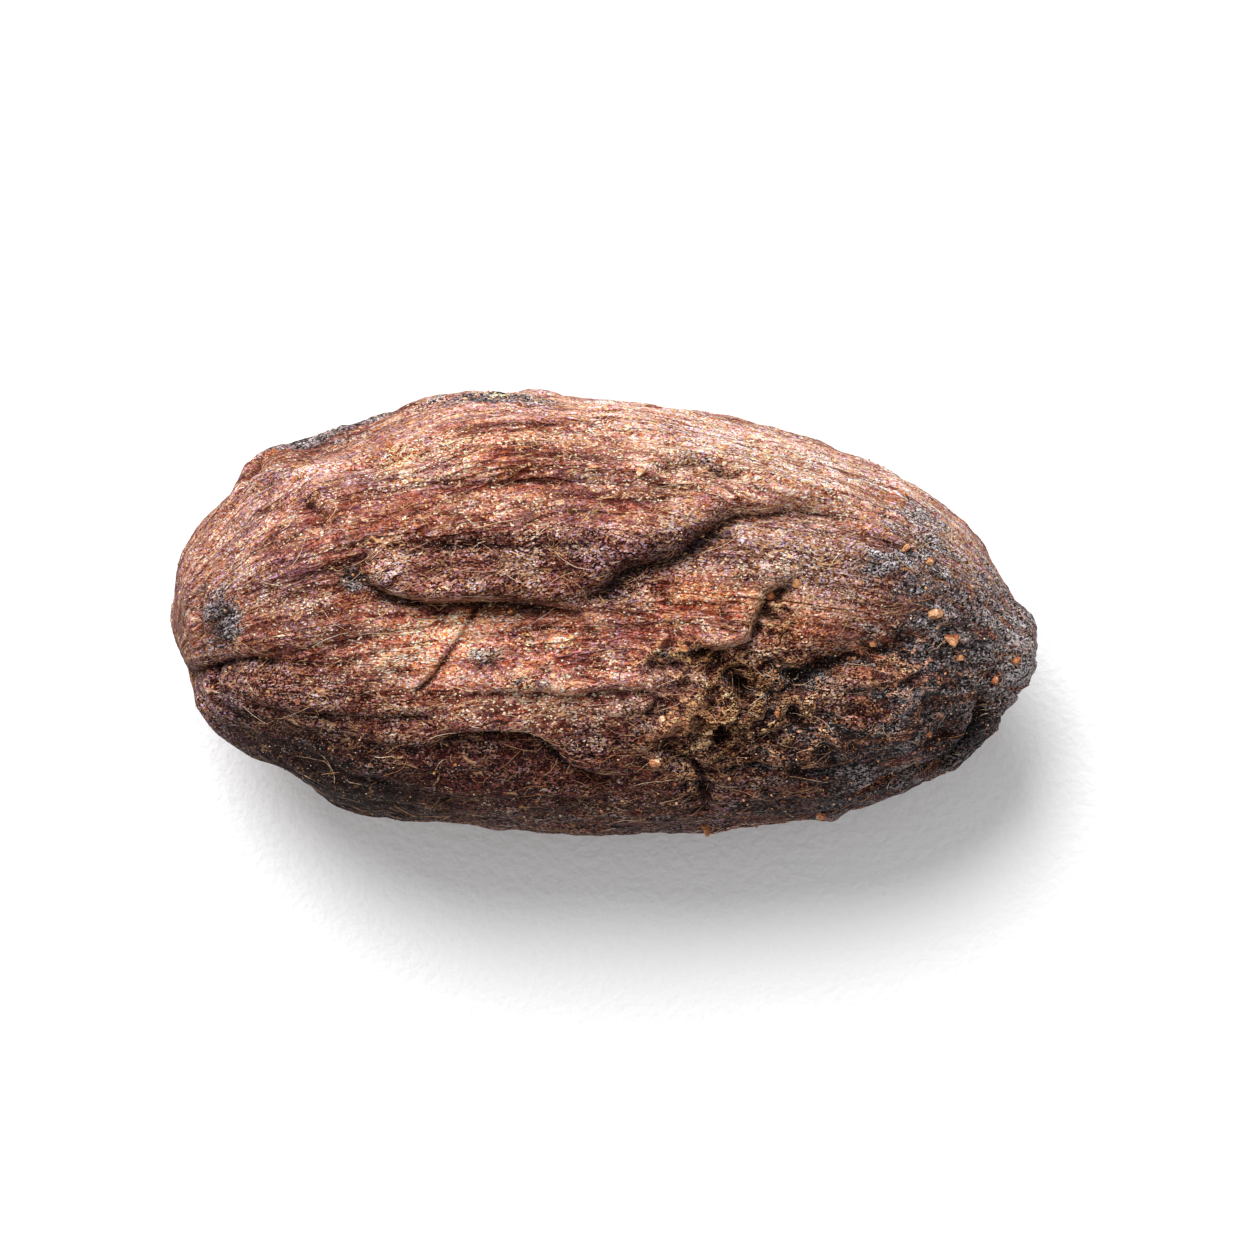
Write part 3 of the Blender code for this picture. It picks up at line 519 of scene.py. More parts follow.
@dataclass
class DriedShell:
    """The bean's shell: a sphere drawn out to the outline, then creased and wrinkled.

    Sizes are in metres. The body's are the solid's own, and its long wrinkles are
    lower than the solid's, because finer ones lie between them here.
    """

    half_length: float = 12.1 * MM
    half_width: float = 6.3 * MM
    seam_height: float = 4.0 * MM
    crown_above: float = 4.5 * MM
    crown_below: float = 4.12 * MM
    flat_cut: float = 0.12 * MM
    fullness: float = 2.25
    seam_centre: tuple[float, float] = (-0.2 * MM, -1.2 * MM)
    crown_centre_y: float = 0.25 * MM
    seam_wave: float = 0.25 * MM
    blunt_thicker: float = 0.07
    outline_mm: tuple[tuple[float, float], ...] = (
        (11.75, -1.3), (11.3, 1.05), (9.4, 3.35), (6.6, 4.72), (3.0, 5.75), (-0.8, 6.3),
        (-4.5, 6.3), (-7.6, 5.15), (-10.2, 4.05), (-12.0, 1.65), (-12.1, -1.2),
        (-11.25, -3.1), (-9.2, -4.62), (-7.7, -5.45), (-5.8, -5.82), (-1.5, -6.27),
        (3.6, -6.2), (7.0, -5.65), (9.95, -4.45), (11.4, -3.0),
    )
    wrinkle_height: float = 0.08 * MM
    wrinkle_count: float = 4.6
    wrinkle_stretch: float = 1.1
    crown_calm: float = 0.45
    dent_depth: float = 0.16 * MM
    dent_size: float = 3.2 * MM
    crinkle_height: float = 0.07 * MM
    crinkle_size: float = 0.9 * MM
    calm_reach: float = 3.6 * MM
    crust_height: float = 0.32 * MM
    crust_size: float = 1.5 * MM
    crust_centre_mm: tuple[float, float] = (3.9, -2.9)
    crust_half: tuple[float, float] = (3.1 * MM, 2.4 * MM)
    crust_level: float = 1.1  # the lump that neither rises nor sinks
    crust_pit: float = 0.4  # how far a pit goes below it at most, in crust heights
    # fine relief, which the solid leaves out
    streak_height: float = 0.02 * MM
    streak_count: float = 15.0
    pucker_height: float = 0.07 * MM
    pucker_size: float = 0.42 * MM
    flake_height: float = 0.4 * MM
    flake_size: float = 0.7 * MM
    flake_limit: float = 0.35  # how far a flake rises or sinks at most, in flake heights
    # what the finish reads
    grain_scale: tuple[float, float] = (12.1, 5.4)  # millimetres along and round the bean
    hollow_rounds: int = 14
    hollow_depth: float = 0.03 * MM
    fold_rounds: int = 160
    fold_depth: float = 0.22 * MM
    sphere_detail: int = 8  # icosphere subdivisions, 327,680 triangles
    most_triangles: int = 192_000
    directions: np.ndarray = field(init=False, repr=False)
    points: np.ndarray = field(init=False, repr=False)
    normals: np.ndarray = field(init=False, repr=False)
    raised: np.ndarray = field(init=False, repr=False)
    slid: np.ndarray = field(init=False, repr=False)

    def outline_reach(self, angle: np.ndarray) -> np.ndarray:
        """Says how far the seam lies from its centre, in half sizes.

        Args:
            angle: directions in the plan, in radians.

        Returns:
            The reach in each direction.
        """
        points = np.array(self.outline_mm) * MM - np.array(self.seam_centre)
        scaled = points / (self.half_length, self.half_width)
        at = np.unwrap(np.arctan2(scaled[:, 1], scaled[:, 0]))
        knots = smooth_route(
            np.column_stack([
                np.concatenate([at[-3:] - 2 * math.pi, at, at[:3] + 2 * math.pi]),
                np.tile(np.hypot(*scaled.T), 3)[len(at) - 3 : 2 * len(at) + 3],
            ]),
            step=0.02,
        )
        first = knots[0, 0]
        return np.interp((angle - first) % (2 * math.pi) + first, knots[:, 0], knots[:, 1])

    def body_points(self, directions: np.ndarray) -> np.ndarray:
        """Places each direction of the unit sphere on the smooth body.

        Args:
            directions: unit vectors, one a row.

        Returns:
            The points of the body, one a row.
        """
        x, y, z = directions.T
        across = np.hypot(x, y)
        full = (across**self.fullness + np.abs(z) ** self.fullness) ** (1 / self.fullness)
        across, rise = across / full, z / full
        angle = np.arctan2(y, x)
        reach = self.outline_reach(angle) * across
        crown = np.where(rise > 0, self.crown_above, self.crown_below)
        crown = crown * (1 - self.blunt_thicker * np.cos(angle) * across)
        wave = self.seam_wave * np.sin(2 * angle + 0.6) * across**2
        centre_x, centre_y = self.seam_centre
        return np.column_stack([
            centre_x + self.half_length * reach * np.cos(angle),
            centre_y * across**2 + self.crown_centre_y * (1 - across**2)
            + self.half_width * reach * np.sin(angle),
            self.seam_height + crown * rise + wave,
        ])

    def lay(self, plan_mm: np.ndarray | Sequence[Sequence[float]], side: Side) -> np.ndarray:
        """Lays plan points on the smooth body.

        Args:
            plan_mm: points of the plan, in millimetres.
            side: the half of the shell to lay them on.

        Returns:
            The nearest points of the body, one a row.
        """
        mine = np.flatnonzero(self.directions[:, 2] * side.value > 0)
        spots = self.points[mine]
        plan = np.asarray(plan_mm, float) * MM
        return np.array([spots[np.argmin(((spots[:, :2] - p) ** 2).sum(1))] for p in plan])

    def near(self, route: np.ndarray, reach: float) -> np.ndarray:
        """Numbers the vertices within reach of the box that holds a route."""
        low, high = route.min(0) - reach, route.max(0) + reach
        return np.flatnonzero(((self.points > low) & (self.points < high)).all(1))

    def laid_route(self, line: Fold | Ridge) -> np.ndarray:
        """Lays a fold's or a ridge's route on the smooth body, one point a row."""
        laid = self.lay(smooth_route(line.route_mm, 0.6), line.side)
        return smooth_route(laid, 0.2 * MM)

    def add_fold(self, fold: Fold) -> None:
        """Presses a fold in, and swells and leans its left side.

        Args:
            fold: the fold.
        """
        route = self.laid_route(fold)
        some = self.near(route, 4 * max(fold.steep, fold.gentle) * MM)
        gap, place, heading, along = nearest_on_route(self.points[some], route)
        turned = np.cross(heading, self.points[some] - place)
        left = (turned * self.normals[some]).sum(1) > 0
        width = np.where(left, fold.steep, fold.gentle) * MM
        swell = fold.lip * np.exp(-(((gap / MM - 2.6 * fold.steep) / (2.2 * fold.steep)) ** 2))
        pressed = fold.depth * np.exp(-((gap / width) ** 1.3)) - np.where(left, swell, 0.0)
        fade = fade_at_ends(along)
        self.raised[some] -= pressed * MM * fade
        across = np.cross(heading, self.normals[some])
        lean = fold.over * MM * np.exp(-(((gap / MM - 2 * fold.steep) / (1.4 * fold.steep)) ** 2))
        self.slid[some] += across * (lean * left * fade)[:, None]

    def add_ridge(self, ridge: Ridge) -> None:
        """Raises a ridge.

        Args:
            ridge: the ridge.
        """
        route = self.laid_route(ridge)
        some = self.near(route, 3 * ridge.width * MM)
        gap, _, _, along = nearest_on_route(self.points[some], route)
        rise = ridge.height * MM * np.exp(-((gap / (ridge.width * MM)) ** 2))
        self.raised[some] += rise * fade_at_ends(along)

    def spread_from(self, shape: Mound | Patch) -> np.ndarray:
        """Says how far each vertex is from a mound's or patch's centre, in its half sizes."""
        centre = self.lay([shape.centre_mm], shape.side)[0]
        turn = math.radians(shape.turn_deg)
        ahead = np.array((math.cos(turn), math.sin(turn), 0.0))
        away = self.points - centre
        forward = away @ ahead
        aside = np.linalg.norm(away - forward[:, None] * ahead, axis=1)
        return np.hypot(forward / shape.half_length, aside / shape.half_width) / MM

    def add_mound(self, mound: Mound) -> None:
        """Raises a mound, or sinks a hollow."""
        spread = self.spread_from(mound)
        self.raised += mound.height * MM * np.exp(-(spread**mound.squareness))

    def marked(self, mark: Mark) -> np.ndarray:
        """Says how strongly each vertex carries a mark.

        Args:
            mark: the mark. The patches of tone, painted light and painted shade add up and the
                others' don't.

        Returns:
            A share from 0 to 1, or for the tone with its painted light and shade what the colour
            is multiplied by.
        """
        covers = [patch.strength * np.exp(-(self.spread_from(patch) ** 2.5))
                  for patch in PATCHES[mark]]
        return np.exp(sum(covers)) if mark is Mark.TONE_LIGHT_AND_SHADE else np.maximum.reduce(covers)

    def add_crust(self) -> None:
        """Roughens the patch of dried pulp."""
        centre = self.lay([self.crust_centre_mm], Side.TOP)[0]
        away = self.points - centre
        half_length, half_width = self.crust_half
        spread = np.hypot(away[:, 0] / half_length,
                          np.hypot(away[:, 1], away[:, 2]) / half_width)
        cover = np.exp(-(spread**4))
        lumps = [noise.ridged_multi_fractal(p, 0.8, 2.2, 3, 1.0, 1.5)
                 for p in self.points / self.crust_size]
        lumps = np.maximum(np.array(lumps) - self.crust_level, -self.crust_pit)
        self.raised += self.crust_height * cover * lumps

    def calm(self) -> np.ndarray:
        """Gives 0 over the resting spot and 1 away from it."""
        low = self.points[:, 2].min()
        under = np.hypot(np.hypot(self.points[:, 0] / 1.8, self.points[:, 1]),
                         self.points[:, 2] - low)
        return np.clip(under / self.calm_reach, 0, 1) ** 2

    def grain(self, along: float, across: float) -> np.ndarray:
        """Gives coordinates in which the wrinkles run straight.

        Args:
            along: the scale from end to end.
            across: the scale round the bean.

        Returns:
            A point for each vertex, one a row.
        """
        x, y, z = self.directions.T
        round_it = np.hypot(y, z) + 1e-9
        return np.column_stack([x * along, y / round_it * across, z / round_it * across])

    def add_wrinkles(self) -> None:
        """Adds long wrinkles, dents and crinkles, calm over the resting spot."""
        x, y, z = self.directions.T
        fade = np.clip(np.hypot(y, z) / 0.35, 0, 1)
        streaks = self.grain(self.wrinkle_stretch, self.wrinkle_count)
        wrinkles = [noise.ridged_multi_fractal(p, 0.9, 2.1, 4, 0.9, 1.6) for p in streaks]
        fade = fade * (1 - self.crown_calm * np.clip((z - 0.55) / 0.3, 0, 1))
        dents = [noise.fractal(p, 1.0, 2.0, 2) for p in self.points / self.dent_size]
        crinkles = [noise.turbulence(p, 3, False) for p in self.points / self.crinkle_size]
        self.raised += self.calm() * (
            self.wrinkle_height * fade * (np.array(wrinkles) - 1.0)
            + self.dent_depth * np.array(dents)
            + self.crinkle_height * (np.array(crinkles) - 0.7)
        )

    def add_fine_relief(self, crust: np.ndarray, mould: np.ndarray) -> None:
        """Adds what is too fine for the solid: streaks, puckers and flakes of crust.

        Args:
            crust: how crusted each vertex is, from 0 to 1.
            mould: how mouldy each vertex is, from 0 to 1.
        """
        round_it = np.hypot(self.directions[:, 1], self.directions[:, 2])
        fade = np.clip(round_it / 0.45, 0, 1)
        streaks = [noise.noise(p) + 0.5 * noise.noise(2.1 * p)
                   for p in map(Vector, self.grain(4.5, self.streak_count))]
        puckers = [noise.turbulence(p, 3, False) for p in self.points / self.pucker_size]
        flakes = [noise.ridged_multi_fractal(p, 0.7, 2.1, 3, 1.0, 1.6) if c > 0.02 else 1.0
                  for p, c in zip(self.points / self.flake_size, crust)]
        limit = self.flake_limit
        self.raised += self.calm() * (
            self.streak_height * fade * (1 - crust) * (0.8 - 2.2 * np.abs(np.array(streaks)))
            + self.pucker_height * (0.3 + crust + 0.8 * mould) * (np.array(puckers) - 0.7)
            + self.flake_height * crust * np.clip(np.array(flakes) - 1.0, -limit, limit)
        )

    def hollowness(self, mesh: bpy.types.Mesh, rounds: int) -> np.ndarray:
        """Says how far each vertex lies below its smoothed surroundings.

        Args:
            mesh: the creased mesh.
            rounds: how many times to smooth, which sets how wide it looks.

        Returns:
            Metres below, or above if less than zero.
        """
        ends = np.empty(len(mesh.edges) * 2, np.int32)
        mesh.edges.foreach_get("vertices", ends)
        a, b = ends.reshape(-1, 2).T
        points = read_vectors(mesh.vertices, "co")
        count = len(points)
        degree = np.bincount(a, minlength=count) + np.bincount(b, minlength=count)
        smooth = points.copy()
        for _ in range(rounds):
            total = np.column_stack([
                np.bincount(a, smooth[b, axis], count) + np.bincount(b, smooth[a, axis], count)
                for axis in range(3)
            ])
            smooth = 0.5 * smooth + 0.5 * total / degree[:, None]
        return ((smooth - points) * read_vectors(mesh.vertices, "normal")).sum(1)

    def build(self) -> bpy.types.Object:
        """Builds the shell, with the attributes that its finish reads.

        Returns:
            The shell's object, where the solid lies.
        """
        mesh = bpy.data.meshes.new("bean_shell")
        ball = bmesh.new()
        bmesh.ops.create_icosphere(ball, subdivisions=self.sphere_detail, radius=1.0)
        ball.to_mesh(mesh)
        ball.free()
        self.directions = read_vectors(mesh.vertices, "co")
        move_vertices(mesh, self.body_points(self.directions))
        self.points = read_vectors(mesh.vertices, "co")
        self.normals = read_vectors(mesh.vertices, "normal")
        self.raised = np.zeros(len(self.points))
        self.slid = np.zeros((len(self.points), 3))
        for fold in FOLDS + FINE_FOLDS:
            self.add_fold(fold)
        for ridge in RIDGES + FINE_RIDGES:
            self.add_ridge(ridge)
        for mound in MOUNDS:
            self.add_mound(mound)
        self.add_crust()
        self.add_wrinkles()
        marks = {mark: self.marked(mark) for mark in Mark}
        self.add_fine_relief(marks[Mark.CRUST], marks[Mark.MOULD])
        move_vertices(mesh, self.points + self.normals * self.raised[:, None] + self.slid)
        put_attribute(mesh, "grain", self.grain(*self.grain_scale))
        for name, rounds, depth in (("hollow", self.hollow_rounds, self.hollow_depth),
                                    ("fold", self.fold_rounds, self.fold_depth)):
            below = self.hollowness(mesh, rounds) / depth
            put_attribute(mesh, name, np.clip(below, -1, 1))
        for mark, cover in marks.items():
            put_attribute(mesh, mark.value, cover)
        shell = bpy.data.objects.new("bean_shell", mesh)
        bpy.context.scene.collection.objects.link(shell)
        self.thin_out(shell)
        self.settle(shell.data)
        shell.data.shade_smooth()
        return shell

    def thin_out(self, shell: bpy.types.Object) -> None:
        """Drops facets where the shell is smooth, which keeps them for the folds."""
        thinner = shell.modifiers.new("fewer facets", "DECIMATE")
        thinner.ratio = self.most_triangles / len(shell.data.polygons)
        bpy.context.view_layer.update()
        graph = bpy.context.evaluated_depsgraph_get()
        thinned = bpy.data.meshes.new_from_object(
            shell.evaluated_get(graph), preserve_all_data_layers=True, depsgraph=graph
        )
        shell.modifiers.clear()
        shell.data = thinned

    def settle(self, mesh: bpy.types.Mesh) -> None:
        """Presses the underside flat and puts the shell where the solid lies."""
        low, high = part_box(NODE)
        points = read_vectors(mesh.vertices, "co")
        points[:, 2] -= points[:, 2].min() + self.flat_cut
        points[:, 2] = np.maximum(points[:, 2], low[2])
        for axis in (0, 1):
            middle = (points[:, axis].min() + points[:, axis].max()) / 2
            points[:, axis] += (low[axis] + high[axis]) / 2 - middle
        move_vertices(mesh, points)


# Finishes


def add_node(
    tree: bpy.types.NodeTree,
    kind: str,
    settings: dict[str, object] | None = None,
    inputs: dict[str | int, object] | None = None,
) -> bpy.types.Node:
    """Adds a node with its settings and links.

    Args:
        tree: the material's tree.
        kind: the node's type name, without ShaderNode.
        settings: attributes of the node.
        inputs: for each input's name or number, a value or an output socket to link.

    Returns:
        The node.
    """
    node = tree.nodes.new("ShaderNode" + kind)
    for name, value in (settings or {}).items():
        setattr(node, name, value)
    for key, value in (inputs or {}).items():
        socket = node.inputs[key]
        if isinstance(value, Socket):
            tree.links.new(value, socket)
        else:
            socket.default_value = value
    return node


class Weave:
    """A material's tree, with the few chains of nodes that every finish uses."""

    def __init__(self, name: str) -> None:
        """Starts an empty material.

        Args:
            name: the material's name.
        """
        self.material = bpy.data.materials.new(name)
        self.material.use_nodes = True
        self.tree = self.material.node_tree
        self.tree.nodes.clear()
        place = add_node(self.tree, "TexCoord").outputs["Object"]
        self.place_mm = self.vector("MULTIPLY", place, (1 / MM,) * 3)

    def maths(self, operation: str, first: object, second: object = 0.0) -> Socket:
        """Adds a math node on two numbers or sockets."""
        inputs = {0: first, 1: second}
        return add_node(self.tree, "Math", {"operation": operation}, inputs).outputs[0]

    def times(self, first: object, second: object) -> Socket:
        """Multiplies two numbers or sockets."""
        return self.maths("MULTIPLY", first, second)

    def plus(self, first: object, second: object) -> Socket:
        """Adds two numbers or sockets."""
        return self.maths("ADD", first, second)

    def highest(self, values: Iterable[Socket]) -> Socket:
        """Takes the highest of several numbers."""
        return reduce(lambda first, second: self.maths("MAXIMUM", first, second), values)

    def vector(self, operation: str, first: object, second: object) -> Socket:
        """Adds a vector math node on two vectors or sockets."""
        inputs = {0: first, 1: second}
        return add_node(self.tree, "VectorMath", {"operation": operation}, inputs).outputs[0]

    def drawn_out(self, vector: Socket, share: float) -> Socket:
        """Stretches a pattern along the bean, where its coordinates are cut to a share."""
        return self.vector("MULTIPLY", vector, (share, 1.0, 1.0))

    def shifted(self, vector: Socket, by: float) -> Socket:
        """Moves a pattern's coordinates, so that two alike patterns don't fall together."""
        return self.vector("ADD", vector, (by,) * 3)

    def dimmed(self, colour: object, by: Socket) -> Socket:
        """Multiplies a colour by a number."""
        inputs = {0: colour, "Scale": by}
        return add_node(self.tree, "VectorMath", {"operation": "SCALE"}, inputs).outputs[0]

    def warmed(self, colour: Socket, by: Socket) -> Socket:
        """Multiplies a colour by a number, so that it reddens as it darkens.

        Args:
            colour: the colour.
            by: what it is multiplied by.

        Returns:
            The colour: light that comes out of a pore has met the brown skin twice.
        """
        darker, brighter = (self.maths(kind, by, 1.0) for kind in ("MINIMUM", "MAXIMUM"))
        powers = {
            axis: self.times(self.maths("POWER", darker, dark),
                             self.maths("POWER", brighter, bright))
            for axis, (dark, bright) in enumerate(((0.62, 0.72), (1.12, 1.0), (1.38, 1.13)))
        }
        each = add_node(self.tree, "CombineXYZ", {}, powers).outputs[0]
        return self.vector("MULTIPLY", colour, each)

    def steps(self, value: Socket, colours: Sequence[str], blend: str = "CONSTANT") -> Socket:
        """Turns a number from 0 to 1 into colours.

        Args:
            value: the number.
            colours: hex colours, evenly spaced.
            blend: CONSTANT for steps and LINEAR for a smooth run.

        Returns:
            The colour.
        """
        ramp = add_node(self.tree, "ValToRGB", {}, {"Fac": value})
        ramp.color_ramp.interpolation = blend
        stops = ramp.color_ramp.elements
        while len(stops) < len(colours):
            stops.new(0.5)
        last = len(colours) - (blend != "CONSTANT")
        for i, colour in enumerate(colours):
            stops[i].position = i / last
            stops[i].color = linear(colour)
        return ramp.outputs[0]

    def attribute(self, name: str, output: str = "Fac") -> Socket:
        """Reads a mesh attribute, as a number or by another of its outputs."""
        return add_node(self.tree, "Attribute", {"attribute_name": name}).outputs[output]

    def noise(
        self, vector: Socket, size_mm: float, detail: float = 3.0, rough: float = 0.55,
        twist: float = 0.0,
    ) -> Socket:
        """Adds a cloud noise with features of about a size.

        Args:
            vector: coordinates in millimetres.
            size_mm: the size of the largest features.
            detail: octaves of finer features.
            rough: the strength of the finer features.
            twist: how far the pattern is distorted.

        Returns:
            The noise, around 0.5.
        """
        return add_node(
            self.tree, "TexNoise", {},
            {"Vector": vector, "Scale": 1 / size_mm, "Detail": detail, "Roughness": rough,
             "Distortion": twist},
        ).outputs["Fac"]

    def flecks(
        self, vector: Socket, size_mm: float, ragged: Socket
    ) -> tuple[Socket, Socket, Socket]:
        """Splits the surface into flecks, each with its own numbers from 0 to 1.

        Args:
            vector: coordinates in millimetres.
            size_mm: the size of a fleck.
            ragged: a noise that makes their edges uneven.

        Returns:
            Three numbers of the fleck, unrelated to each other.
        """
        uneven = self.dimmed((1.0, 1.0, 1.0), self.times(ragged, size_mm))
        moved = self.vector("ADD", vector, uneven)
        cells = add_node(self.tree, "TexVoronoi", {}, {"Vector": moved, "Scale": 1 / size_mm})
        split = add_node(self.tree, "SeparateColor", {}, {0: cells.outputs["Color"]})
        return split.outputs[0], split.outputs[1], split.outputs[2]

    def span(
        self, value: Socket, low: float, high: float, to_low: float = 0.0, to_high: float = 1.0
    ) -> Socket:
        """Maps a range of a value to another range, smoothly and clamped."""
        return add_node(
            self.tree, "MapRange", {"interpolation_type": "SMOOTHSTEP"},
            {"Value": value, "From Min": low, "From Max": high, "To Min": to_low,
             "To Max": to_high},
        ).outputs["Result"]

    def contour(self, cloud: Socket, level: float, inner: float, outer: float) -> Socket:
        """Draws the line where a noise passes a level, from 1 on it to 0 off it."""
        apart = self.maths("ABSOLUTE", self.maths("SUBTRACT", cloud, level))
        return self.span(apart, inner, outer, 1.0, 0.0)

    def mixed(
        self, share: object, first: object, second: object, blend: str = "MIX"
    ) -> Socket:
        """Mixes two colours.

        Args:
            share: how much of the second colour, a number or a socket.
            first: a hex colour or a socket.
            second: a hex colour or a socket.
            blend: how the second colour is laid over the first.

        Returns:
            The mixed colour.
        """
        colours = [linear(c) if isinstance(c, str) else c for c in (first, second)]
        return add_node(
            self.tree, "Mix", {"data_type": "RGBA", "blend_type": blend},
            {0: share, 6: colours[0], 7: colours[1]},
        ).outputs[2]

    def bumped(self, height: Socket, distance: float, strength: float) -> Socket:
        """Turns a height, in units of a distance in metres, into a bumped normal."""
        inputs = {"Strength": strength, "Distance": distance, "Height": height}
        return add_node(self.tree, "Bump", {}, inputs).outputs[0]

    def finish(
        self, colour: Socket, roughness: object, settings: dict[str | int, object],
        normal: Socket,
    ) -> bpy.types.Material:
        """Adds the shader and the output.

        Args:
            colour: the base colour.
            roughness: a number or a socket.
            settings: further inputs of the shader.
            normal: the bumped normal.

        Returns:
            The material.
        """
        shader = add_node(
            self.tree, "BsdfPrincipled", {},
            {"Base Color": colour, "Roughness": roughness, **settings, "Normal": normal},
        )
        add_node(self.tree, "OutputMaterial", {}, {"Surface": shader.outputs[0]})
        return self.material


class CoatWeave(Weave):
    """The seed coat's tree, with the patterns that its layers share."""

    def __init__(self, name: str, streak_mm: float, fleck_mm: float) -> None:
        """Adds the patterns.

        Args:
            name: the material's name.
            streak_mm: the distance between neighbouring fine streaks.
            fleck_mm: the size of a fleck.
        """
        super().__init__(name)
        self.grain = self.attribute("grain", "Vector")
        self.hollow, self.fold = self.attribute("hollow"), self.attribute("fold")
        self.marks = {mark: self.attribute(mark.value) for mark in Mark}
        self.crust, self.tone = self.marks[Mark.CRUST], self.marks[Mark.TONE_LIGHT_AND_SHADE]
        self.streaks = self.noise(self.drawn_out(self.grain, 0.1), streak_mm, 5.0, 0.65, 0.4)
        self.middle = self.noise(self.drawn_out(self.grain, 0.45), 0.5, 5.0, 0.7)
        self.broad = self.noise(self.place_mm, 2.4, 4.0, 0.6)
        self.calm = self.noise(self.shifted(self.place_mm, 29.0), 1.1, 3.0, 0.6)
        self.fine = self.noise(self.place_mm, 0.13, 2.0, 0.7)
        self.light, self.hue, self.dusty = self.flecks(
            self.drawn_out(self.place_mm, 0.7), fleck_mm, self.fine
        )
        mouldy = self.plus(self.marks[Mark.MOULD], self.span(self.middle, 0.3, 0.7, -0.4, 0.4))
        self.mouldy = self.span(mouldy, 0.2, 0.8, 0.0, 0.95)
        showing = self.span(self.mouldy, 0.2, 0.9, 1.0, 0.3)
        self.creases = self.times(self.crease_lines(0.0), showing)
        self.crests = self.times(self.crease_lines(0.045), showing)
        bare = self.maths("SUBTRACT", self.span(self.mouldy, 0.2, 0.9, 0.95, 0.12),
                          self.times(self.crust, 0.4))
        self.threads = self.times(self.thread_lines(), self.maths("MAXIMUM", bare, 0.0))

    def crease_lines(self, above: float) -> Socket:
        """Draws the thin creases between fine wrinkles, as contour lines of stretched clouds.

        Args:
            above: how high in the clouds, 0 for the creases and more for the crests beside.

        Returns:
            1 on a line and 0 off it.
        """
        lines = []
        for size, offset in ((0.5, 41.0), (0.32, 53.0)):
            moved = self.shifted(self.drawn_out(self.grain, 0.16), offset)
            line = self.contour(self.noise(moved, size, 2.0, 0.5), 0.5 + above, 0.006, 0.035)
            broken = self.span(self.noise(moved, 2.4 * size, 2.0), 0.44, 0.54)
            lines.append(self.times(line, broken))
        return self.highest(lines)

    def thread_lines(self) -> Socket:
        """Draws fine threads of pulp, as the contour lines of stretched clouds.

        Returns:
            1 on a thread and 0 off it.
        """
        lines = []
        for size, offset, lean in ((0.5, 3.0, 38.0), (0.4, 9.0, 4.0), (0.5, 17.0, -24.0),
                                   (0.45, 23.0, 14.0)):
            turned = add_node(self.tree, "VectorRotate", {"rotation_type": "Z_AXIS"},
                              {"Vector": self.place_mm, "Angle": -math.radians(lean)})
            moved = self.shifted(self.drawn_out(turned.outputs[0], 0.3), offset)
            line = self.contour(self.noise(moved, size, 2.0, 0.5, 0.8), 0.5, 0.004, 0.01)
            broken = self.span(self.noise(moved, 0.35, 2.0), 0.5, 0.57)
            lines.append(self.times(line, broken))
        return self.highest(lines)


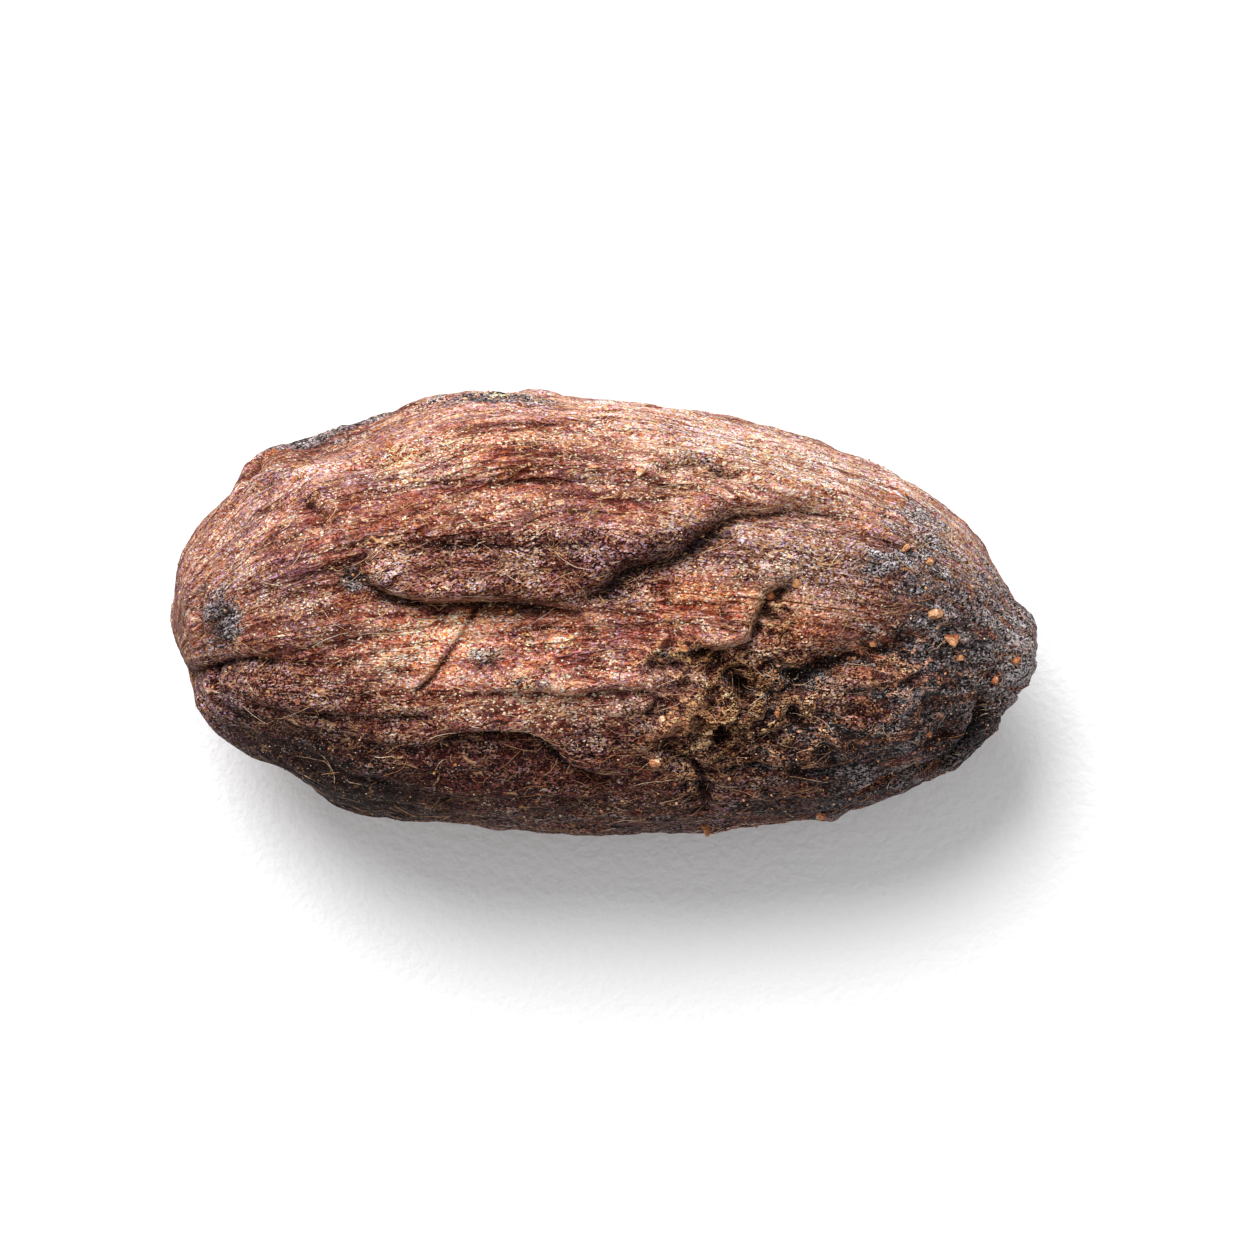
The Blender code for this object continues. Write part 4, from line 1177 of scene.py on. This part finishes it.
@dataclass(frozen=True)
class DriedSeedCoat:
    """Seed coat of cocoa, fermented and sun dried.

    It shrinks into streaks from end to end and keeps the tan dust and threads of its
    pulp, so the eye sees a dull reddish brown broken by fine light specks.
    """

    skin_dark: str = "#52261c"
    skin: str = "#945d53"
    skin_light: str = "#c8a096"
    plum: str = "#765a66"
    # rubbed skin, and painted sheen along the upper edge
    pale_and_sheen: str = "#ac9d9f"
    rust: str = "#ae7450"
    wine: str = "#5e211a"
    mould_dark: str = "#201f23"
    mould: str = "#4c4a4d"
    mould_pale: str = "#8b8c93"
    # painted shade, darkening the folds and hollows
    hollow_shade: str = "#1a0908"
    gold: str = "#c27c4a"
    thread: str = "#dbb68e"
    speck: str = "#eed6b8"
    mould_speck: str = "#aea9aa"
    painted_glint: str = "#f4e6d4"
    fleck_tints: tuple[str, ...] = ("#efe6fc", "#fbfff2", "#ffefba", "#ffcbb4", "#fff3f1")
    cloud_tints: tuple[str, ...] = ("#ede2fc", "#fff8f4", "#ffe2a8")
    streak_mm: float = 0.24  # between neighbouring fine streaks
    fleck_mm: float = 0.042  # a speck of dust or a pore
    relief: float = 0.25 * MM
    most_white: float = 0.82  # dried pulp is no whiter than this
    ior: float = 1.47
    gloss: float = 0.1  # of the usual 0.5, because fibres and dust shade its sheen

    def material(self) -> bpy.types.Material:
        """Makes the material, layer over layer.

        Returns:
            The material.
        """
        w = CoatWeave("dried_seed_coat", self.streak_mm, self.fleck_mm)
        colour = self.skin_colour(w)
        for layer in (self.tinted, self.shaded_hollows_gilded_crust, self.shaded, self.specked, self.threaded):
            colour = layer(w, colour)
        roughness = w.span(w.middle, 0.3, 0.7, 0.5, 0.8)
        settings = {"IOR": self.ior, "Specular IOR Level": self.gloss}
        return w.finish(colour, roughness, settings, self.bumps(w))

    def skin_colour(self, w: CoatWeave) -> Socket:
        """Colours the skin, its rubbed, damp, mouldy and thin places, and painted sheen on its
        upper edge.

        Args:
            w: the coat's tree.

        Returns:
            The colour.
        """
        colour = w.mixed(w.span(w.streaks, 0.36, 0.6), self.skin_dark, self.skin)
        colour = w.mixed(w.span(w.middle, 0.44, 0.66, 0.0, 0.8), colour, self.skin_light)
        colour = w.mixed(w.span(w.broad, 0.47, 0.64, 0.0, 0.6), colour, self.plum)
        # rubbed skin, and painted sheen along the upper edge that faces the lamp
        colour = w.mixed(w.times(w.marks[Mark.PALE_AND_SHEEN], 0.7), colour, self.pale_and_sheen)
        damp = w.times(w.marks[Mark.WINE], w.span(w.streaks, 0.25, 0.55))
        colour = w.mixed(damp, colour, self.wine)
        mould = w.mixed(w.span(w.middle, 0.38, 0.62), self.mould_dark, self.mould)
        mould = w.mixed(w.span(w.broad, 0.5, 0.72, 0.0, 0.5), mould, self.mould_pale)
        colour = w.mixed(w.mouldy, colour, mould)
        thin = w.times(w.marks[Mark.RUST], w.span(w.middle, 0.36, 0.6))
        return w.mixed(thin, colour, self.rust)

    def tinted(self, w: CoatWeave, colour: Socket) -> Socket:
        """Greys flecks and small clouds by age, yellows them by pulp or leaves them red.

        Args:
            w: the coat's tree.
            colour: the colour so far.

        Returns:
            The tinted colour.
        """
        cloud = w.noise(w.shifted(w.place_mm, 5.0), 0.12, 3.0, 0.7)
        clouds = w.steps(w.span(cloud, 0.36, 0.64), self.cloud_tints, "LINEAR")
        share = w.span(w.mouldy, 0.2, 0.9, 1.0, 0.35)
        colour = w.mixed(share, colour, clouds, "MULTIPLY")
        return w.mixed(share, colour, w.steps(w.hue, self.fleck_tints), "MULTIPLY")

    def shaded_hollows_gilded_crust(self, w: CoatWeave, colour: Socket) -> Socket:
        """Paints shade into the folds and hollows, and lays golden pulp on what stands out of the
        crust.

        Args:
            w: the coat's tree.
            colour: the colour so far.

        Returns:
            The colour with painted shade in the hollows, and crust.
        """
        # painted shade: the folds and hollows are darkened where shade falls
        colour = w.mixed(w.span(w.fold, 0.35, 1.0, 0.0, 0.75), colour, self.hollow_shade)
        colour = w.mixed(w.span(w.hollow, 0.25, 0.95, 0.0, 0.5), colour, self.hollow_shade)
        crusty = w.times(w.crust, w.span(w.hollow, -0.75, -0.1, 1.0, 0.0))
        crusty = w.times(crusty, w.span(w.light, 0.3, 0.7, 0.05, 0.8))
        return w.mixed(crusty, colour, self.gold)

    def shaded(self, w: CoatWeave, colour: Socket) -> Socket:
        """Varies the flecks and pores; paints shade in creases, light on crests and raised places.

        Args:
            w: the coat's tree.
            colour: the colour so far.

        Returns:
            The shaded colour. Flecks differ most where it is dark, mouldy or crusted.
        """
        contrast = w.highest([
            w.span(w.tone, 0.35, 1.0, 3.7, 1.15), w.span(w.mouldy, 0.0, 1.0, 1.15, 2.7),
            w.span(w.crust, 0.0, 1.0, 1.15, 2.9),
        ])
        contrast = w.times(contrast, w.span(w.calm, 0.4, 0.6, 0.7, 1.15))
        shade = w.maths("POWER", w.span(w.light, 0.0, 1.0, 0.28, 1.6), contrast)
        # the hollow, crease and crest rows paint light on raised places and crests and shade in
        # the creases; the other rows vary the skin's own lightness
        for value, low, high, dark, bright in (
            (w.hollow, -0.8, -0.05, 1.4, 1.0), (w.streaks, 0.38, 0.62, 0.86, 1.16),
            (w.middle, 0.36, 0.64, 0.88, 1.16), (w.creases, 0.0, 1.0, 1.0, 0.4),
            (w.crests, 0.0, 1.0, 1.0, 1.45), (w.calm, 0.4, 0.6, 1.12, 1.03),
            (w.dusty, 0.03, 0.08, 0.45, 1.0),
        ):
            shade = w.times(shade, w.span(value, low, high, dark, bright))
        colour = w.mixed(w.mouldy, w.warmed(colour, shade), w.dimmed(colour, shade))
        # the tone holds painted light on the upper edge and painted shade on the lower side and in
        # the seam's groove
        return w.dimmed(colour, w.tone)

    def specked(self, w: CoatWeave, colour: Socket) -> Socket:
        """Strews light specks of pulp, golden on the crust and grey on the mould.

        Args:
            w: the coat's tree.
            colour: the colour so far.

        Returns:
            The specked colour, with fewer specks on dark skin and in folds.
        """
        speck = w.mixed(w.times(w.crust, 0.85), self.speck, self.gold)
        speck = w.mixed(w.mouldy, speck, self.mould_speck)
        speck = w.dimmed(speck, w.span(w.light, 0.0, 1.0, 0.6, 1.25))
        speck = w.dimmed(speck, w.maths("POWER", w.tone, 0.45))
        often = w.plus(w.dusty, w.span(w.marks[Mark.DUST], 0.0, 1.0, -0.04, 0.1))
        often = w.plus(often, w.times(w.crust, 0.05))
        often = w.plus(often, w.span(w.tone, 0.15, 1.0, -0.12, 0.0))
        often = w.plus(often, w.span(w.middle, 0.35, 0.7, -0.12, 0.12))
        often = w.maths("SUBTRACT", often, w.span(w.fold, 0.3, 0.8, 0.0, 0.15))
        return w.mixed(w.span(often, 0.84, 0.9, 0.0, 0.9), colour, speck)

    def threaded(self, w: CoatWeave, colour: Socket) -> Socket:
        """Lays fine threads of pulp and tiny painted glints over the flecks.

        Args:
            w: the coat's tree.
            colour: the colour so far.

        Returns:
            The finished colour, no whiter than dried pulp.
        """
        thread = w.mixed(w.light, self.gold, self.thread)
        thread = w.dimmed(thread, w.maths("POWER", w.tone, 0.5))
        colour = w.mixed(w.threads, colour, thread)
        # painted glints: tiny near-white spots in the colour
        painted_glint = w.span(w.noise(w.place_mm, 0.06, 1.0, 0.5), 0.7, 0.75, 0.0, 0.5)
        colour = w.mixed(painted_glint, colour, self.painted_glint)
        return w.vector("MINIMUM", colour, (self.most_white,) * 3)

    def bumps(self, w: CoatWeave) -> Socket:
        """Raises streaks, flecks and threads that are too fine for the mesh.

        Args:
            w: the coat's tree.

        Returns:
            The bumped normal.
        """
        rugged = w.span(w.maths("MAXIMUM", w.mouldy, w.crust), 0.0, 1.0, 0.5, 1.2)
        height = w.times(w.streaks, 0.65)
        for pattern, share in ((w.middle, 0.38), (w.fine, rugged), (w.light, 0.11),
                               (w.threads, 0.12), (w.creases, -0.35), (w.crests, 0.25)):
            height = w.plus(height, w.times(pattern, share))
        return w.bumped(height, self.relief, 1.0)


@dataclass(frozen=True)
class DriedPulp:
    """Pulp of the cocoa fruit, fermented and dried to hard crumbs and threads.

    It is slightly glassy and runs from cream through gold to rust, so the eye sees
    warm glints on the dull shell. The mesh attribute tint picks the colour.
    """

    name: str
    colours: tuple[str, ...] = ("#662d17", "#a1592c", "#b67f50", "#d0a67f", "#e8dac8")
    ior: float = 1.45
    roughness: float = 0.5

    def material(self) -> bpy.types.Material:
        """Makes the material.

        Returns:
            The material.
        """
        w = Weave(self.name)
        tint = w.attribute("tint")
        wander = w.span(w.noise(w.place_mm, 0.07, 3.0, 0.7), 0.35, 0.65, -0.22, 0.22)
        colour = w.steps(w.plus(tint, wander), self.colours, "LINEAR")
        bump = w.bumped(w.noise(w.place_mm, 0.08), 0.03 * MM, 0.6)
        return w.finish(colour, self.roughness, {"IOR": self.ior}, bump)


@dataclass(frozen=True)
class WhitePaper:
    """Uncoated drawing paper, felt pressed, so its face is faintly pebbled."""

    colour: str = "#f2f2f3"
    shade: str = "#d9d9db"
    pebble_mm: float = 0.25
    ior: float = 1.5
    roughness: float = 0.9

    def material(self) -> bpy.types.Material:
        """Makes the material.

        Returns:
            The material.
        """
        w = Weave("uncoated_white_paper")
        pebbles = w.noise(w.place_mm, self.pebble_mm, 3.0, 0.5)
        colour = w.mixed(w.span(pebbles, 0.3, 0.7, 0.0, 0.06), self.colour, self.shade)
        bump = w.bumped(pebbles, 0.15 * MM, 0.35)
        return w.finish(colour, self.roughness, {"IOR": self.ior}, bump)


# Dried pulp on the shell


@dataclass
class ShellSurface:
    """The finished shell as a surface to stick things to."""

    shell: bpy.types.Object
    seed: int = 7
    bare_below: float = 0.05 * MM  # nothing sticks to the resting spot
    tree: BVHTree = field(init=False, repr=False)
    corners: np.ndarray = field(init=False, repr=False)
    vertices: np.ndarray = field(init=False, repr=False)
    normals: np.ndarray = field(init=False, repr=False)
    random: np.random.Generator = field(init=False, repr=False)

    def __post_init__(self) -> None:
        """Reads the mesh."""
        mesh = self.shell.data
        self.vertices = read_vectors(mesh.vertices, "co")
        self.normals = read_vectors(mesh.vertices, "normal")
        corners = np.empty(len(mesh.polygons) * 3, np.int32)
        mesh.polygons.foreach_get("vertices", corners)
        self.corners = corners.reshape(-1, 3)
        self.tree = BVHTree.FromPolygons(self.vertices.tolist(), self.corners.tolist())
        self.random = np.random.default_rng(self.seed)

    def cover(self, name: str) -> np.ndarray:
        """Reads a number for each vertex from the shell's attributes."""
        values = np.empty(len(self.vertices), np.float32)
        self.shell.data.attributes[name].data.foreach_get("value", values)
        return values.astype(float)

    def scatter(self, count: int, density: np.ndarray) -> tuple[np.ndarray, np.ndarray]:
        """Picks random spots.

        Args:
            count: how many.
            density: how often a spot falls near each vertex, against the others.

        Returns:
            The spots and the outward directions there, one a row.
        """
        a, b, c = (self.vertices[self.corners[:, i]] for i in range(3))
        area = np.linalg.norm(np.cross(b - a, c - a), axis=1)
        weight = area * density[self.corners].mean(1)
        low = self.vertices[self.corners][:, :, 2].max(1) < self.bare_below
        weight[low] = 0.0
        face = self.random.choice(len(weight), count, p=weight / weight.sum())
        u, v = self.random.random((2, count, 1))
        u, v = np.where(u + v > 1, 1 - u, u), np.where(u + v > 1, 1 - v, v)
        share = np.stack([1 - u - v, u, v])
        spots = sum(share[i] * self.vertices[self.corners[face, i]] for i in range(3))
        outward = sum(share[i] * self.normals[self.corners[face, i]] for i in range(3))
        return spots, outward / np.linalg.norm(outward, axis=1, keepdims=True)


@dataclass
class PulpThreads:
    """Threads of dried pulp that lie on the shell, their ends sunk in it."""

    count: int = 850
    shortest: float = 0.3 * MM
    longest: float = 1.7 * MM
    thinnest: float = 0.006 * MM
    thickest: float = 0.012 * MM
    steps: int = 9
    sides: int = 3

    def route(self, surface: ShellSurface, start: np.ndarray, length: float) -> np.ndarray:
        """Walks over the shell in a curl.

        Args:
            surface: the shell.
            start: where the thread starts.
            length: how long it is.

        Returns:
            The thread's points, then the outward directions, as two blocks of rows.
        """
        rng = surface.random
        lean = rng.normal(0, 0.3) + (0.7 if rng.random() < 0.35 else 0.0)
        heading = math.copysign(1, rng.random() - 0.5) * Vector((1, lean, 0))
        curl = rng.normal(0, 0.12)
        points, outwards = [], []
        here = Vector(start)
        for _ in range(self.steps + 1):
            spot, outward, _, _ = surface.tree.find_nearest(here)
            points.append(spot)
            outwards.append(outward)
            heading = heading - outward * heading.dot(outward)
            heading.normalize()
            heading = heading + outward.cross(heading) * (curl + rng.normal(0, 0.1))
            heading.normalize()
            here = spot + heading * (length / self.steps)
        return np.array([points, outwards])

    def build(self, surface: ShellSurface) -> bpy.types.Object:
        """Builds the threads.

        Args:
            surface: the shell that they lie on.

        Returns:
            One object with every thread.
        """
        rng = surface.random
        dust, crust = surface.cover(Mark.DUST.value), surface.cover(Mark.CRUST.value)
        hollow = surface.cover("hollow")
        density = 0.25 + dust + 0.3 * crust + 0.5 * np.clip(-hollow, 0, 1)
        density *= np.clip(surface.normals[:, 2] + 0.75, 0.12, 1)
        density *= 1 - 0.75 * surface.cover(Mark.MOULD.value)
        starts, _ = surface.scatter(self.count, density)
        points, faces, tint = [], [], []
        turn = np.arange(self.sides) * 2 * math.pi / self.sides
        for start in starts:
            length = self.shortest + (self.longest - self.shortest) * rng.random() ** 2.2
            line, outward = self.route(surface, start, length)
            radius = self.thinnest + (self.thickest - self.thinnest) * rng.random() ** 2
            along = np.linspace(0, 1, len(line))
            swell = np.sin(along * math.pi) ** 0.5
            lift = radius * (1.6 * swell - 0.9)
            line = line + outward * lift[:, None]
            ahead = np.gradient(line, axis=0)
            ahead /= np.linalg.norm(ahead, axis=1, keepdims=True) + 1e-12
            aside = np.cross(ahead, outward)
            aside /= np.linalg.norm(aside, axis=1, keepdims=True) + 1e-12
            up = np.cross(aside, ahead)
            girth = radius * (0.35 + 0.65 * swell)
            ring = (
                line[:, None]
                + girth[:, None, None] * (np.cos(turn)[None, :, None] * aside[:, None]
                                          + np.sin(turn)[None, :, None] * up[:, None])
            ).reshape(-1, 3)
            base = sum(len(p) for p in points)
            points.append(ring)
            k = np.arange(self.sides)
            for step in range(len(line) - 1):
                low, high = base + step * self.sides, base + (step + 1) * self.sides
                faces.append(np.column_stack([
                    low + k, low + (k + 1) % self.sides, high + (k + 1) % self.sides, high + k,
                ]))
            tint.append(np.full(len(ring), 0.95 * rng.beta(4.0, 2.0)))
        return mesh_of("pulp_threads", np.vstack(points), np.vstack(faces),
                       np.concatenate(tint))


@dataclass
class PulpGrains:
    """Grains of dried pulp, each an angular chip sunk in the shell by a third."""

    count: int = 3000
    smallest: float = 0.012 * MM
    largest: float = 0.045 * MM
    stands_out: float = 0.35  # its middle above the shell, in half sizes

    def build(self, surface: ShellSurface) -> bpy.types.Object:
        """Builds the grains.

        Args:
            surface: the shell that they stick to.

        Returns:
            One object with every grain.
        """
        rng = surface.random
        dust, crust = surface.cover(Mark.DUST.value), surface.cover(Mark.CRUST.value)
        density = 0.5 + 0.8 * dust + 1.2 * crust + 0.4 * surface.cover(Mark.MOULD.value)
        density *= np.clip(surface.normals[:, 2] + 0.8, 0.2, 1)
        spots, outward = surface.scatter(self.count, density)
        shape, sides = unit_ball(1)
        size = self.smallest + (self.largest - self.smallest) * rng.random(self.count) ** 4
        stretch = rng.uniform(0.5, 1.5, (self.count, 1, 3))
        rough = rng.uniform(0.6, 1.3, (self.count, len(shape), 1))
        stones = shape[None] * rough * stretch * size[:, None, None]
        stones += (spots + outward * (self.stands_out * size)[:, None])[:, None]
        faces = sides[None] + (np.arange(self.count) * len(shape))[:, None, None]
        tint = np.repeat(0.85 * rng.beta(2.0, 1.6, self.count), len(shape))
        return mesh_of("pulp_grains", stones.reshape(-1, 3), faces.reshape(-1, 3), tint,
                       rounded=False)


@dataclass(frozen=True)
class Crumb:
    """One crumb: its place in the plan and half size in millimetres, and its tint."""

    plan_mm: tuple[float, float]
    size: float
    tint: float


@dataclass
class PulpCrumbs:
    """Crumbs of dried pulp that are big enough to see one by one."""

    crumbs: tuple[Crumb, ...] = (
        Crumb((9.38, -0.07), 0.25, 0.42), Crumb((10.0, -0.75), 0.24, 0.36),
        Crumb((10.12, -1.3), 0.12, 0.25), Crumb((11.2, -1.95), 0.12, 0.2),
        Crumb((11.85, -1.4), 0.12, 0.14), Crumb((9.28, -3.46), 0.13, 0.2),
        Crumb((1.55, -4.32), 0.2, 0.5), Crumb((6.25, -5.8), 0.16, 0.25),
        Crumb((2.95, -6.2), 0.2, 0.12), Crumb((8.6, 1.8), 0.12, 0.6),
        Crumb((9.25, 1.42), 0.12, 0.55), Crumb((-2.65, 0.02), 0.13, 0.3),
        Crumb((1.7, -3.1), 0.12, 0.5),
        Crumb((5.5, 0.85), 0.16, 0.45), Crumb((4.75, 0.55), 0.15, 0.25),
        Crumb((3.0, -3.4), 0.12, 0.45),
        Crumb((2.2, -1.0), 0.16, 0.45), Crumb((-6.1, 4.75), 0.14, 0.4),
        Crumb((-8.75, 3.8), 0.14, 0.15), Crumb((5.0, -2.9), 0.12, 0.3),
        Crumb((6.6, 4.3), 0.1, 0.6), Crumb((1.05, 3.95), 0.13, 0.6),
        Crumb((-3.6, 3.3), 0.1, 0.62), Crumb((7.7, -0.9), 0.12, 0.35),
    )
    cuts: int = 10  # flat breaks on each crumb
    roundest: float = 1.35  # how far it reaches from its middle at most, in half sizes

    def build(self, surface: ShellSurface) -> bpy.types.Object:
        """Builds the crumbs.

        Args:
            surface: the shell that they stick to.

        Returns:
            One object with every crumb.
        """
        shape, sides = unit_ball(4)
        points, faces, tint = [], [], []
        for i, crumb in enumerate(self.crumbs):
            x, y = crumb.plan_mm
            spot, outward, _, _ = surface.tree.ray_cast(
                Vector((x * MM, y * MM, 0.02)), Vector((0, 0, -1))
            )
            if spot is None:
                spot, outward, _, _ = surface.tree.find_nearest(Vector((x * MM, y * MM, 4 * MM)))
            cuts = surface.random.normal(size=(self.cuts, 3))
            cuts /= np.linalg.norm(cuts, axis=1, keepdims=True)
            depths = surface.random.uniform(0.45, 0.95, self.cuts)
            reaches = depths / np.maximum(shape @ cuts.T, 0.05)
            reach, facet = reaches.min(1), reaches.argmin(1)
            dents = np.array([noise.turbulence(Vector(p) * 2.4 + Vector((i * 5.0, 0, 0)), 3, True)
                              for p in shape])
            lumps = np.minimum(reach, self.roundest) * (1.1 - 0.35 * dents)
            middle = np.array(spot) + np.array(outward) * crumb.size * 0.25 * MM
            points.append(middle + shape * (0.9 * lumps * crumb.size * MM)[:, None])
            faces.append(sides + i * len(shape))
            shades = surface.random.uniform(-0.2, 0.3, self.cuts)
            # each facet has its own tint, and the side facing out from the shell is drawn lighter
            # and the base darker: painted shade
            tint.append(crumb.tint - 0.08 + shades[facet] + 0.12 * (shape @ np.array(outward)))
        return mesh_of("pulp_crumbs", np.vstack(points), np.vstack(faces),
                       np.concatenate(tint), rounded=False)


# Room


@dataclass
class Studio:
    """White paper under one large soft lamp from the upper left, and a white room."""

    floor_half: float = 0.6
    camera_height: float = 0.42
    seam_height: float = 4.0 * MM  # the picture's scale holds at the seam
    sensor_mm: float = 36.0
    lamp_from: tuple[float, float, float] = (-0.43, 1.0, 1.08)
    lamp_distance: float = 0.5
    lamp_width: float = 0.4
    lamp_watts: float = 4.0
    room_light: float = 0.62

    def lay_paper(self) -> bpy.types.Object:
        """Lays the paper."""
        half = self.floor_half
        corners = np.array([(-half, -half, 0), (half, -half, 0), (half, half, 0),
                            (-half, half, 0)], float)
        paper = mesh_of("paper", corners, np.array([[0, 1, 2, 3]]))
        paper.data.materials.append(WhitePaper().material())
        return paper

    def hang_lamp(self) -> None:
        """Hangs the lamp, turned to the bean."""
        light = bpy.data.lights.new("soft_box", "AREA")
        light.shape = "DISK"
        light.size = self.lamp_width
        light.energy = self.lamp_watts
        lamp = bpy.data.objects.new("soft_box", light)
        toward = Vector(self.lamp_from).normalized()
        lamp.location = toward * self.lamp_distance
        lamp.rotation_euler = toward.to_track_quat("Z", "Y").to_euler()
        bpy.context.scene.collection.objects.link(lamp)

    def light_room(self) -> None:
        """Gives the room an even white light."""
        world = bpy.data.worlds.new("white_room")
        world.use_nodes = True
        sky = world.node_tree.nodes["Background"]
        sky.inputs["Color"].default_value = (1.0, 1.0, 1.0, 1.0)
        sky.inputs["Strength"].default_value = self.room_light
        bpy.context.scene.world = world

    def set_camera(self) -> None:
        """Sets the camera over the bean, framed as the picture is."""
        lens = bpy.data.cameras.new("overhead")
        lens.sensor_width = self.sensor_mm
        above = self.camera_height - self.seam_height
        lens.lens = lens.sensor_width * above / (PICTURE_SIDE * PIXEL)
        lens.clip_start = 0.01
        camera = bpy.data.objects.new("overhead", lens)
        camera.location = (*PICTURE_CENTRE, self.camera_height)
        bpy.context.scene.collection.objects.link(camera)
        bpy.context.scene.camera = camera

    def build(self) -> None:
        """Builds the room and sets how light turns to colour."""
        self.lay_paper()
        self.hang_lamp()
        self.light_room()
        self.set_camera()
        bpy.context.scene.view_settings.view_transform = "Standard"


def main() -> None:
    """Builds the bean and its room, and reports each piece."""
    logging.basicConfig(level=logging.INFO, format="%(name)s: %(message)s")
    Studio().build()
    shell = DriedShell().build()
    shell.data.materials.clear()
    shell.data.materials.append(DriedSeedCoat().material())
    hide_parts(NODE)
    surface = ShellSurface(shell)
    pieces = [shell]
    for kind, finish in (
        (PulpCrumbs(), DriedPulp("dried_pulp_crumbs")),
        (PulpGrains(), DriedPulp("dried_pulp_grains")),
        (PulpThreads(), DriedPulp("dried_pulp_threads", roughness=0.4)),
    ):
        piece = kind.build(surface)
        piece.data.materials.append(finish.material())
        pieces.append(piece)
    for piece in pieces:
        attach(piece, BODY)
        LOG.info("%s: %d faces", piece.name, len(piece.data.polygons))


if __name__ == "__main__":
    main()
